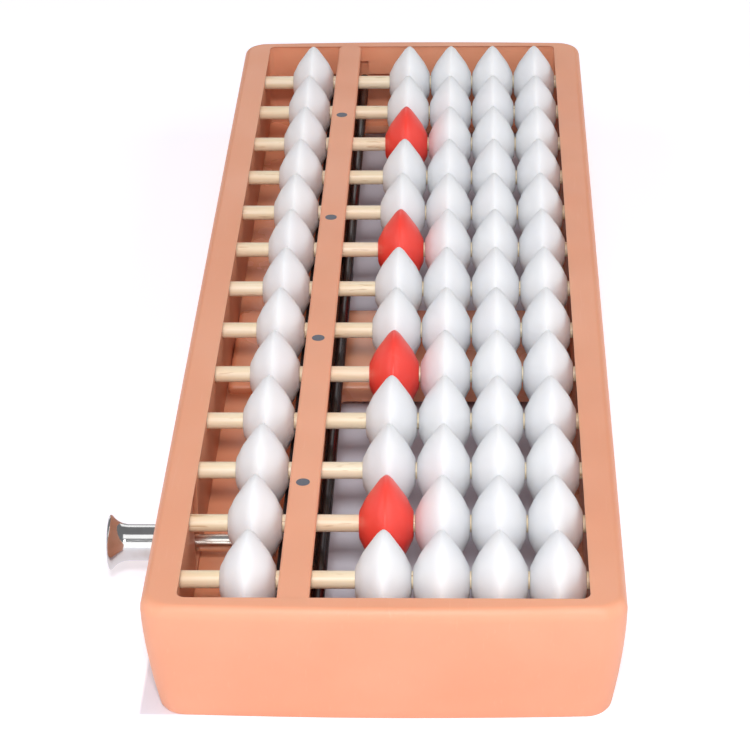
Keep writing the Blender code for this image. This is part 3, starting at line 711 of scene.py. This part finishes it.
@dataclass
class Workbench:
    """Turns meshes into finished pieces and builds each finish once."""

    nodes: dict[str, Object]
    finishes: dict[str, Material] = field(default_factory=dict)

    def finish(self, finish: Finish) -> Material:
        """Get a finish's material, built once.

        Args:
            finish: The finish.

        Returns:
            Its material.
        """
        if finish.name not in self.finishes:
            self.finishes[finish.name] = finish.material()
        return self.finishes[finish.name]

    def piece(
        self,
        name: str,
        bm: BMesh,
        finish: Finish,
        slot: Slot,
        body: str = Body.FRAME.value,
        nodes: Sequence[str] = (),
        sharp: float = 32.0,
    ) -> Object:
        """Make a piece of the object.

        Args:
            name: The piece's name.
            bm: Its mesh, in place, which is freed.
            finish: What its surface is.
            slot: The record's slot for its finish; not used.
            body: The body it rides on.
            nodes: CAD nodes that it stands for.
            sharp: Angle in degrees above which an edge stays sharp.

        Returns:
            The new object.
        """
        made = placed(name, bm)
        mesh = made.data
        mesh.materials.append(self.finish(finish))
        mesh.shade_smooth()
        mesh.set_sharp_from_angle(angle=math.radians(sharp))
        even = made.modifiers.new("even_shading", "WEIGHTED_NORMAL")
        even.keep_sharp = True
        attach(made, body)
        if nodes:
            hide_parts(*nodes)
        LOG.info("%s: %d faces, rides on %s", name, len(mesh.polygons), body)
        return made

    def dress(self, names: Sequence[str], finish: Finish) -> None:
        """Give carried-over CAD nodes a finish.

        Args:
            names: The nodes to dress.
            finish: What their surface is.
        """
        for name in names:
            mesh = self.nodes[name].data
            mesh.materials.clear()
            mesh.materials.append(self.finish(finish))
            LOG.info("%s: dressed as %s", name, finish.name)


FRAME_PLASTIC = MouldedPolystyrene("salmon_polystyrene", "#ECA582", "#E79C78", 0.5)
# the base's copy of the plastic is painted lighter than the frame's, to make up for the shade
# inside the tray
BASE_PLASTIC_PAINTED_LIGHTER = MouldedPolystyrene("salmon_polystyrene_base_painted_lighter", "#FCAE86", "#F8A47A", 0.26)
WHITE_BEAD = MouldedBead(
    *("white_bead_plastic", "#EDEEF0", "#E9EAED", "#F1F1F3"),
    glow=(1.0, 0.95, 0.9),
    roughness=0.46,
    gloss=0.22,
    depth=0.85,
    reach_mm=2.6,
)
RED_BEAD = MouldedBead(
    *("red_bead_plastic", "#FB4C40", "#F6453A", "#F96A5E"),
    glow=(1.0, 0.25, 0.15),
    roughness=0.34,
    gloss=0.4,
    depth=0.2,
)
BAMBOO = SplitBamboo()
BLACK_WIRE = DrawnMetal(
    "blackened_steel_wire", "#332C2D", "#211B1B", 0.8, (0.2, 0.34), (18.0, 0.3, 0.3)
)
CHROME = DrawnMetal(
    "chromium_plate", "#C6C6C5", "#B4B1AD", 1.0, (0.06, 0.14), (0.8, 2.0, 0.8), 0.0004
)
GROUND_STEEL = DrawnMetal(
    "ground_steel", "#E2E0DA", "#CBC8C0", 1.0, (0.16, 0.24), (0.5, 3.0, 0.5), 0.0002
)
ZINC = DrawnMetal("zinc_plate", "#BFC0C2", "#A4A6A8", 1.0, (0.25, 0.4), (0.5, 0.5, 0.5))
NYLON = FilledNylon()
INK = PrintedInk()


# The abacus


@dataclass
class Part:
    """A sub-assembly that makes its pieces on a bench."""

    bench: Workbench


def middle_of(node: str) -> Vector:
    """The middle of a node's box."""
    low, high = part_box(node)
    return (low + high) / 2


def column_x(column: float) -> float:
    """Place along X of a column, or of a spot between two."""
    return (MIDDLE_COLUMN - column) * COLUMN_PITCH_MM * MM


@dataclass
class FrameRing(Part):
    """The moulded ring of rails and end walls."""

    rail_mm: float = 4.5
    corner_mm: float = 3.2
    inner_corner_mm: float = 1.2
    crown_mm: float = 0.8
    foot_mm: float = 0.6
    foot_inset_mm: float = 2.0
    foot_step_mm: float = 0.3
    draft_power: float = 1.6
    side_rings: int = 9
    top_round_mm: float = 1.3
    top_fall_mm: float = 2.0
    top_rings: tuple[float, ...] = (0.92, 0.8, 0.65, 0.48, 0.3, 0.14, 0.04)
    lip_mm: float = 0.5
    lip_rings: tuple[float, ...] = (1.0, 0.7, 0.4, 0.15, 0.0)
    rebate_mm: float = 0.8
    rebate_end_mm: float = 0.5
    rebate_top_mm: float = 3.3
    rebate_corner_mm: float = 2.2
    socket_play_mm: float = 0.1
    hole_mm: float = 2.95
    # radius and place along Y of the broken edge's points
    mouth_mm: Outline = ((0, -1.2), (2.9, -1.2), (3.5, -0.5), (4.2, 1), (0, 1))
    pocket_half_mm: float = 3.0
    pocket_depth_mm: float = 2.4
    pocket_roof_mm: float = 1.2
    slot_half_mm: float = 1.3
    slot_depth_mm: float = 1.5
    entry_half_mm: float = 0.9
    entry_rise_mm: float = 4.0

    def inset(self, height: float, top: float) -> float:
        """How far the outer wall is drawn in.

        Args:
            height: Where on the wall.
            top: The frame's top.

        Returns:
            The distance inwards.
        """
        at, edge = height / MM, top / MM - self.top_fall_mm
        if at > edge:
            rise = min((at - edge) / self.top_fall_mm, 1.0)
            return self.top_round_mm * (1 - math.sqrt(1 - rise**2)) * MM
        if at < self.foot_mm:
            return (self.foot_inset_mm - self.foot_step_mm * at / self.foot_mm) * MM
        drawn = self.foot_inset_mm - self.foot_step_mm
        return drawn * ((edge - at) / (edge - self.foot_mm)) ** self.draft_power * MM

    def lip(self, height: float, top: float) -> float:
        """How far the opening draws in towards the top, which leaves a lip along the rails.

        Args:
            height: Where on the wall.
            top: The frame's top.

        Returns:
            The distance inwards.
        """
        reach = self.lip_mm * MM
        rise = min(max(height - top + reach, 0.0) / reach, 1.0)
        return reach * (1 - math.sqrt(1 - rise**2)) + max(height - top, 0.0)

    def make(self) -> None:
        """Build the ring with its slots, sockets and button hole."""
        low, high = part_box("frame")
        middle = (low.y + high.y) / 2
        half = (high.x, (high.y - low.y) / 2)
        top = high.z
        edge = top - self.top_fall_mm * MM
        levels = [0.0, self.foot_mm * MM]
        levels += [edge * n / self.side_rings for n in range(1, self.side_rings + 1)]
        levels += [top - self.top_fall_mm * MM * fall for fall in self.top_rings]
        outer = tray(
            half,
            self.corner_mm * MM,
            [*levels, top],
            lambda z: self.inset(z, top),
            self.crown_mm * MM,
            middle,
        )
        inner = (half[0] - END_WALL_MM * MM, half[1] - self.rail_mm * MM)
        lips = [top - self.lip_mm * MM * share for share in self.lip_rings]
        opening = tray(
            inner,
            self.inner_corner_mm * MM,
            [-MM, *lips, top + MM],
            lambda z: self.lip(z, top),
            centre_y=middle,
        )
        rebate = tray(
            (inner[0] - self.rebate_end_mm * MM, inner[1] + self.rebate_mm * MM),
            self.rebate_corner_mm * MM,
            [-MM, self.rebate_top_mm * MM],
            centre_y=middle,
        )
        cuts = [opening, rebate, self.sockets()]
        cuts += self.button_way(inner[1] + middle)
        cuts += self.bar_slots(inner[0])
        ring = shaped(outer, [("DIFFERENCE", cut) for cut in cuts])
        self.bench.piece("frame_ring", ring, FRAME_PLASTIC, Slot.SALMON, nodes=["frame"])

    def sockets(self) -> BMesh:
        """The rods' sockets, as long thin bars."""
        bars = []
        for mark in MARKS:
            low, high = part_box(f"rod_{mark}")
            length = high.y - low.y + self.socket_play_mm * MM
            bars.append(rod((low + high) / 2, ROD_WAY_MM * MM, length, "Y"))
        return joined(bars)

    def button_way(self, rail_y: float) -> list[BMesh]:
        """The button's hole, with a broken edge, and the pocket in front of it.

        Args:
            rail_y: The rail's inner face.

        Returns:
            What is cut away.
        """
        x, _, z = middle_of("button_cap")
        outer_y = rail_y + self.rail_mm * MM
        hole = rod((x, outer_y, z), self.hole_mm * MM, 2 * self.rail_mm * MM, "Y")
        mouth = lathe(self.mouth_mm, (x, outer_y, z))
        half = self.pocket_half_mm * MM
        back = rail_y + self.pocket_depth_mm * MM
        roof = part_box("frame")[1].z - self.pocket_roof_mm * MM
        return [hole, mouth, block((x - half, rail_y - MM, z - half), (x + half, back, roof))]

    def bar_slots(self, wall_x: float) -> list[BMesh]:
        """The bars' slots in both end walls, and the earth bar's entries from above.

        Args:
            wall_x: The inner face of the wall at +X.

        Returns:
            What is cut away.
        """
        reach, entry = self.slot_half_mm * MM, self.entry_half_mm * MM
        slots, entries = [], []
        for bar, travel in (("earth_bar", -STROKE_MM * MM), ("heaven_bar", STROKE_MM * MM)):
            _, y, z = middle_of(bar)
            from_y, to_y = min(y, y + travel) - reach, max(y, y + travel) + reach
            for end in (-1, 1):
                depth = wall_x + self.slot_depth_mm * MM
                near, far = sorted((end * (wall_x - MM), end * depth))
                slots.append(block((near, from_y, z - reach), (far, to_y, z + reach)))
                if bar == "earth_bar":
                    roof = z + self.entry_rise_mm * MM
                    entries.append(block((near, y - entry, z), (far, y + entry, roof)))
        return [joined(slots), joined(entries)]


@dataclass
class ReckoningBeam(Part):
    """The beam between the decks, its pillars and its printed dots."""

    half_mm: float = 2.25
    corner_mm: float = 1.0
    taper_mm: float = 0.6
    edge_mm: float = 0.45
    edge_rings: tuple[float, ...] = (0.0, 0.13, 0.37, 0.68, 1.0)
    edge_share: float = 0.95
    side_rings: tuple[float, ...] = (0.3, 0.5, 0.7)
    below_rod_mm: float = 2.4
    way_length_mm: float = 8.0
    pillar_columns: tuple[float, ...] = (1.5, 4.5, 9.5, 12.5)
    pillar_half_mm: float = 2.5
    neck_half_mm: float = 1.25
    foot_half_mm: float = 2.2
    foot_round_mm: float = 0.2
    foot_gap_mm: float = 0.6
    dot_columns: tuple[float, ...] = (2.5, 5.5, 8.5, 11.5)
    dot_shift_mm: float = -1.8
    dot_across_mm: float = 0.25
    dot_diameter_mm: float = 2.0
    dot_thickness_mm: float = 0.04
    dot_edge_mm: float = 0.015
    dot_rise_mm: float = 0.01

    def make(self) -> None:
        """Build the beam and the dots."""
        low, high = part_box("beam")
        under = middle_of("rod_01").z - self.below_rod_mm * MM
        foot_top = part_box("earth_bar")[0].z - self.foot_gap_mm * MM
        centre = (low.y + high.y) / 2
        top, edge = high.z, self.edge_mm * MM
        levels = [under + edge * share for share in self.edge_rings]
        levels += [under + (top - under) * share for share in self.side_rings]
        levels += [top - edge * share for share in reversed(self.edge_rings)]
        body = tray(
            (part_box("frame")[1].x - END_WALL_MM * MM, self.half_mm * MM),
            self.corner_mm * MM,
            levels,
            lambda z: self.inset(z, under, top),
            centre_y=centre,
        )
        steps = []
        reach = self.pillar_half_mm * MM
        for column in self.pillar_columns:
            x = column_x(column)
            for across_mm, bottom, crest, round_mm in (
                (self.neck_half_mm, foot_top - MM, under + MM, 0.0),
                (self.foot_half_mm, low.z, foot_top, self.foot_round_mm),
            ):
                start = (x - reach, centre - across_mm * MM, bottom)
                end = (x + reach, centre + across_mm * MM, crest)
                steps.append(("UNION", block(start, end, round_mm * MM)))
        ways = []
        for mark in MARKS:
            middle = middle_of(f"rod_{mark}")
            middle.y = centre
            ways.append(rod(middle, ROD_WAY_MM * MM, self.way_length_mm * MM, "Y"))
        steps.append(("DIFFERENCE", joined(ways)))
        beam = shaped(body, steps)
        self.bench.piece("reckoning_beam", beam, FRAME_PLASTIC, Slot.SALMON, nodes=["beam"])
        for number, column in enumerate(self.dot_columns, 1):
            x = column_x(column) + self.dot_shift_mm * MM
            spot = rod(
                (x, centre + self.dot_across_mm * MM, top + self.dot_rise_mm * MM),
                self.dot_diameter_mm / 2 * MM,
                self.dot_thickness_mm * MM,
                "Z",
                self.dot_edge_mm * MM,
            )
            self.bench.piece(f"unit_dot_{number}", spot, INK, Slot.NYLON)

    def inset(self, height: float, low: float, high: float) -> float:
        """How far the beam's sides are drawn in.

        Args:
            height: Where on the side.
            low: The beam's underside.
            high: Its top.

        Returns:
            The distance inwards.
        """
        edge = self.edge_mm * MM
        near = max(low + edge - height, height - (high - edge), 0.0)
        share = min(near / edge, 1.0)
        drawn = self.taper_mm * MM * (high - height) / (high - low)
        return drawn + edge * (1 - math.sqrt(1 - share**2)) * self.edge_share


@dataclass
class BaseFloor(Part):
    """The base plate with its web, windows and bracket."""

    plate_mm: float = 1.4
    corner_mm: float = 2.2
    side_mm: float = 4.9
    web_half_mm: float = 13.5
    web_lap_mm: float = 0.3
    web_sink_mm: float = 0.2
    web_rise_mm: float = 1.6
    web_round_mm: float = 1.0
    web_steps: int = 4
    bracket_half_mm: float = 2.6
    bracket_mm: float = 1.2
    bracket_gap_mm: float = 0.3
    bracket_sink_mm: float = 0.1
    bracket_round_mm: float = 0.25
    window_corner_mm: float = 1.0
    window_side_mm: float = 2.4
    window_beam_mm: float = 2.5
    window_end_mm: float = 5.9
    # radius and length of the holes
    shaft_hole_mm: tuple[float, float] = (1.5, 8.0)
    screw_hole_mm: tuple[float, float] = (1.1, 8.0)
    pivot_hole_mm: tuple[float, float] = (1.3, 12.0)

    def make(self) -> None:
        """Build the floor."""
        low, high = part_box("base_plate")
        frame_low, frame_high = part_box("frame")
        under = low.z
        top = under + self.plate_mm * MM
        middle = (low.y + high.y) / 2
        half = (high.x, (high.y - low.y) / 2)
        plate = tray(half, self.corner_mm * MM, [under, top], centre_y=middle)
        side = (frame_high.y - frame_low.y) / 2 - self.side_mm * MM
        near, lap = self.web_half_mm * MM, self.web_lap_mm * MM
        web = block(
            (-near, middle - side - lap, under + self.web_sink_mm * MM),
            (near, middle + side + lap, top + self.web_rise_mm * MM),
            self.web_round_mm * MM,
            self.web_steps,
        )
        shaft = middle_of("button_shaft")
        stop_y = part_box("drive_carrier")[1].y + self.bracket_gap_mm * MM
        reach = self.bracket_half_mm * MM
        bracket = block(
            (shaft.x - reach, stop_y, under + self.bracket_sink_mm * MM),
            (shaft.x + reach, stop_y + self.bracket_mm * MM, high.z),
            self.bracket_round_mm * MM,
        )
        steps = [("UNION", web), ("UNION", bracket)]
        from_y = middle - side + self.window_side_mm * MM
        to_y = middle_of("beam").y - self.window_beam_mm * MM
        far = frame_high.x - self.window_end_mm * MM
        for end in (-1, 1):
            window = tray(
                ((far - near) / 2, (to_y - from_y) / 2),
                self.window_corner_mm * MM,
                [under - MM, top + MM],
                centre_y=(from_y + to_y) / 2,
            )
            bmesh.ops.translate(window, vec=(end * (far + near) / 2, 0, 0), verts=window.verts)
            steps.append(("DIFFERENCE", window))
        screws = dict.fromkeys(BASE_SCREWS, self.screw_hole_mm)
        screws["lever_pivot_screw"] = self.pivot_hole_mm
        radius, length = self.shaft_hole_mm
        holes = [rod((shaft.x, stop_y, shaft.z), radius * MM, length * MM, "Y")]
        for node, (radius, length) in screws.items():
            screw = middle_of(node)
            holes.append(rod((screw.x, screw.y, under), radius * MM, length * MM, "Z"))
        steps.append(("DIFFERENCE", joined(holes)))
        floor = shaped(plate, steps)
        self.bench.piece("base_floor", floor, BASE_PLASTIC_PAINTED_LIGHTER, Slot.SALMON, nodes=["base_plate"])


@dataclass
class BeadColumns(Part):
    """Thirteen bamboo rods, each with one bead above the beam and four below."""

    lower_beads: int = 4
    unit_columns: tuple[int, ...] = (3, 6, 9, 12)
    pitch_mm: float = 8.0
    first_mm: float = 3.85
    radius_mm: float = 7.14
    thickness_mm: float = 7.76
    bore_mm: float = 1.5
    bore_edge_mm: float = 0.08
    mouth_mm: float = 1.76
    hang_mm: float = 0.24
    rod_end_mm: float = 0.2
    segments: int = 56
    sharp_deg: float = 50.0
    # radius and distance from the ridge of points down one flank
    flank_mm: Outline = (
        *((7.12, 0.14), (7.04, 0.30), (6.90, 0.50), (6.57, 0.88), (5.98, 1.34)),
        *((5.34, 1.83), (4.70, 2.32), (4.06, 2.79), (3.46, 3.13), (3.10, 3.30)),
        *((2.80, 3.44), (2.54, 3.58), (2.30, 3.71), (2.08, 3.81)),
    )

    def profile(self) -> list[tuple[float, float]]:
        """Outline of a bead from one end of its bore to the other."""
        half, edge = self.thickness_mm / 2, self.bore_edge_mm
        ends = [(self.mouth_mm, half), (self.bore_mm + edge, half), (self.bore_mm, half - edge)]
        side = [*self.flank_mm, *ends]
        return [*((r, -d) for r, d in reversed(side)), (self.radius_mm, 0.0), *side]

    def bead(self, name: str, place: Vector, finish: MouldedBead, body: str, node: str) -> None:
        """Turn one bead.

        Args:
            name: The bead's name.
            place: Its middle.
            finish: White or red.
            body: The body it rides on.
            node: The CAD node that it stands for.
        """
        slot = Slot.RED if finish is RED_BEAD else Slot.WHITE
        mesh = lathe(self.profile(), place, self.segments, ring=True)
        self.bench.piece(name, mesh, finish, slot, body, [node], self.sharp_deg)

    def make(self) -> None:
        """Build every rod and bead."""
        for column, mark in enumerate(MARKS, 1):
            low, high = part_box(f"rod_{mark}")
            middle = middle_of(f"rod_{mark}")
            end = self.rod_end_mm * MM
            stick = rod(middle, (high.x - low.x) / 2, high.y - low.y, "Y", end)
            nodes = [f"rod_{mark}"]
            self.bench.piece(f"bamboo_rod_{mark}", stick, BAMBOO, Slot.BAMBOO, nodes=nodes)
            node = f"heaven_bead_{mark}"
            hung = middle.z - self.hang_mm * MM
            place = Vector((middle.x, middle_of(node).y, hung))
            self.bead(f"upper_bead_{mark}", place, WHITE_BEAD, f"heaven_column_{mark}", node)
            node = f"earth_beads_{mark}"
            low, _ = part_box(node)
            for count in range(self.lower_beads):
                red = column in self.unit_columns and count == self.lower_beads - 1
                y = low.y + (self.first_mm + count * self.pitch_mm) * MM
                self.bead(
                    f"lower_bead_{mark}_{self.lower_beads - count}",
                    Vector((middle.x, y, hung)),
                    RED_BEAD if red else WHITE_BEAD,
                    f"earth_column_{mark}",
                    f"earth_bead_red_{mark}" if red else node,
                )


@dataclass
class SweepGear(Part):
    """The two sweep bars under the rods, their carriers, the lever and the screws."""

    bar_round_mm: float = 0.25

    def make(self) -> None:
        """Build the bars and dress the rest."""
        for node, body in (("earth_bar", Body.BUTTON), ("heaven_bar", Body.HEAVEN)):
            low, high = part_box(node)
            radius, end = (high.z - low.z) / 2, self.bar_round_mm * MM
            wire = rod((low + high) / 2, radius, high.x - low.x, "X", end)
            self.bench.piece(f"{node}_wire", wire, BLACK_WIRE, Slot.BLACK, body.value, [node])
        carriers = ["drive_carrier", "earth_lever_carrier", "heaven_lever_carrier"]
        self.bench.dress([*carriers, "reversing_lever"], NYLON)
        self.bench.dress(["lever_pivot_screw", *BASE_SCREWS], ZINC)


@dataclass
class ClearingButton(Part):
    """The chromed button with its flared head, and its shaft."""

    bore_mm: float = 1.5
    wall_mm: float = 1.7
    sleeve_mm: float = 2.7
    sleeve_round_mm: tuple[float, float] = (0.2, 0.3)
    # radius and distance from the outer end, from the dished face back to the sleeve
    head_mm: Outline = (
        *((0.0, 0.5), (1.6, 0.44), (2.7, 0.28), (3.5, 0.08), (3.75, 0.0)),
        *((3.95, 0.04), (4.1, 0.2), (4.04, 0.42), (3.8, 0.62), (3.44, 0.95)),
        *((3.12, 1.4), (2.9, 1.9), (2.8, 2.3), (2.7, 2.8)),
    )
    shaft_mm: float = 1.25
    shaft_end_mm: float = 0.2
    # radius and distance past the spring's end
    collar_mm: Outline = (
        *((1.25, 0.25), (2.1, 0.3), (2.2, 0.4), (2.2, 1.2), (2.1, 1.3), (1.25, 1.35)),
    )
    cap_segments: int = 64
    shaft_segments: int = 40
    sharp_deg: float = 40.0

    def make(self) -> None:
        """Build the cap and the shaft."""
        low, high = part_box("button_cap")
        end = (high.y - low.y) / MM
        inner = end - self.wall_mm
        inset, back = self.sleeve_round_mm
        outline = [
            *((r, end - d) for r, d in self.head_mm),
            (self.sleeve_mm, back),
            (self.sleeve_mm - inset, 0.0),
            (self.bore_mm, 0.0),
            (self.bore_mm, inner),
            (0.0, inner),
        ]
        place = middle_of("button_cap")
        place.y = low.y
        cap = lathe(outline, place, self.cap_segments)
        body = Body.BUTTON.value
        self.bench.piece(
            "flared_cap", cap, CHROME, Slot.CHROME, body, ["button_cap"], self.sharp_deg
        )
        low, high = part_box("button_shaft")
        length = (high.y - low.y) / MM
        spring = (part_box("return_spring")[1].y - low.y) / MM
        edge = self.shaft_end_mm
        outline = [
            (0.0, 0.0),
            (self.shaft_mm - edge, 0.0),
            (self.shaft_mm, edge),
            *((r, spring + d) for r, d in self.collar_mm),
            (self.shaft_mm, length - edge),
            (self.shaft_mm - edge, length),
            (0.0, length),
        ]
        place = middle_of("button_shaft")
        place.y = low.y
        shaft = lathe(outline, place, self.shaft_segments)
        self.bench.piece("push_shaft", shaft, GROUND_STEEL, Slot.CHROME, body, ["button_shaft"])


@dataclass
class ReturnSpring(Part):
    """The coil that pushes the button back out."""

    wire_mm: float = 0.4
    coil_mm: float = 4.2
    turns: int = 6
    points_a_turn: int = 24
    sides: int = 10
    pressed: float = 0.45

    def coil(self, low: Vector, high: Vector) -> BMesh:
        """Wind one unbroken wire along Y.

        Args:
            low: Lowest corner of the space it fills.
            high: Highest corner.

        Returns:
            The closed tube.
        """
        bm = bmesh.new()
        wire = self.wire_mm / 2 * MM
        radius = (self.coil_mm - self.wire_mm) / 2 * MM
        centre = (low + high) / 2
        count = self.turns * self.points_a_turn
        rise = high.y - low.y - 2 * wire
        rings = []
        for step in range(count + 1):
            angle = 2 * math.pi * step / self.points_a_turn
            outward = Vector((math.cos(angle), 0.0, math.sin(angle)))
            place = Vector((centre.x, low.y + wire + rise * step / count, centre.z))
            place += outward * radius
            ring = []
            for side in range(self.sides):
                turn = 2 * math.pi * side / self.sides
                away = outward * math.cos(turn) + Vector((0.0, math.sin(turn), 0.0))
                ring.append(bm.verts.new(place + away * wire))
            rings.append(ring)
        for one, other in zip(rings, rings[1:]):
            for side in range(self.sides):
                after = (side + 1) % self.sides
                bm.faces.new((one[side], one[after], other[after], other[side]))
        bm.faces.new(rings[0])
        bm.faces.new(reversed(rings[-1]))
        bmesh.ops.recalc_face_normals(bm, faces=bm.faces)
        return bm

    def make(self) -> None:
        """Build the spring on a mesh of its own; the real coil shortens as the button goes in.
        """
        low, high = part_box("return_spring")
        coil = self.coil(low, high)
        made = self.bench.piece("spring_wire", coil, ZINC, Slot.ZINC, nodes=["return_spring"])
        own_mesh(made)


# The studio


@dataclass
class Studio(Part):
    """Table, lamps and the camera at the photograph's angle."""

    camera_mm: tuple[float, float, float] = (-396.5, -16.28, 220.98)
    elevation_deg: float = 29.22
    yaw_deg: float = 2.393
    roll_deg: float = -1.129
    focal_pixels: float = 2693.0
    sensor_mm: float = 36.0
    clip: tuple[float, float] = (0.01, 20.0)
    world_colour: str = "#F4F4F8"
    world_strength: float = 0.3
    table_half: float = 4.0
    # name, place, side in metres and watts of each lamp
    lamps: tuple[tuple[str, tuple[float, float, float], float, float], ...] = (
        ("key_lamp", (-0.466, -0.02, 0.378), 0.06, 1.35),
        ("soft_box", (-0.31, 0.0, 0.63), 0.3, 0.4),
        ("front_panel", (-0.95, 0.0, 0.2), 0.7, 2.6),
        ("back_panel", (1.0, 0.0, 0.5), 0.5, 1.0),
        ("left_panel", (-0.1, 0.7, 0.35), 0.7, 2.0),
        ("right_panel", (-0.1, -0.7, 0.35), 0.7, 2.5),
    )

    def aim(self) -> Matrix:
        """The camera's place and turn."""
        pitch = math.radians(self.elevation_deg)
        yaw = math.radians(self.yaw_deg)
        roll = math.radians(self.roll_deg)
        ahead = Vector(
            (math.cos(pitch) * math.cos(yaw), math.cos(pitch) * math.sin(yaw), -math.sin(pitch))
        )
        right = ahead.cross(Vector((0, 0, 1))).normalized()
        up = right.cross(ahead)
        leaned_right = math.cos(roll) * right + math.sin(roll) * up
        leaned_up = math.cos(roll) * up - math.sin(roll) * right
        turn = Matrix((leaned_right, leaned_up, -ahead)).transposed().to_4x4()
        return Matrix.Translation(Vector(self.camera_mm) * MM) @ turn

    def add_camera(self) -> None:
        """Set up the camera."""
        data = bpy.data.cameras.new("photo_camera")
        data.sensor_width = self.sensor_mm
        data.lens = self.focal_pixels / PHOTO_PIXELS * self.sensor_mm
        data.clip_start, data.clip_end = self.clip
        camera = bpy.data.objects.new("photo_camera", data)
        camera.matrix_world = self.aim()
        bpy.context.scene.collection.objects.link(camera)
        bpy.context.scene.camera = camera

    def add_lamp(self, name: str, place: Sequence[float], size: float, watts: float) -> None:
        """Hang a square soft lamp that faces the object.

        Args:
            name: The lamp's name.
            place: Where it hangs.
            size: Its side.
            watts: Its power.
        """
        data = bpy.data.lights.new(name, "AREA")
        data.size = size
        data.energy = watts
        lamp = bpy.data.objects.new(name, data)
        lamp.location = place
        aim = Vector((0, 0, 0)) - Vector(place)
        lamp.rotation_euler = aim.to_track_quat("-Z", "Y").to_euler()
        bpy.context.scene.collection.objects.link(lamp)

    def add_world(self) -> None:
        """Fill the room with even light."""
        world = bpy.data.worlds.new("studio")
        bpy.context.scene.world = world
        world.use_nodes = True
        tree = world.node_tree
        tree.nodes.clear()
        light = {"Color": linear(self.world_colour), "Strength": self.world_strength}
        room = add_node(tree, "ShaderNodeBackground", light)
        add_node(tree, "ShaderNodeOutputWorld", {"Surface": room.outputs[0]})

    def add_table(self) -> None:
        """Lay the table under the object."""
        bm = bmesh.new()
        bmesh.ops.create_grid(bm, x_segments=1, y_segments=1, size=self.table_half)
        table = placed("table_top", bm)
        table.data.materials.append(self.bench.finish(TableTop()))

    def make(self) -> None:
        """Set up the whole studio."""
        bpy.context.scene.view_settings.view_transform = "Standard"
        self.add_camera()
        self.add_world()
        self.add_table()
        for lamp in self.lamps:
            self.add_lamp(*lamp)


def main() -> None:
    """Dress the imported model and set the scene."""
    logging.basicConfig(level=logging.INFO, format="%(name)s: %(message)s")
    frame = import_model()
    bench = Workbench(frame["nodes"])
    parts = [Studio, FrameRing, ReckoningBeam, BaseFloor, BeadColumns, SweepGear]
    for part in [*parts, ClearingButton, ReturnSpring]:
        part(bench).make()


if __name__ == "__main__":
    main()
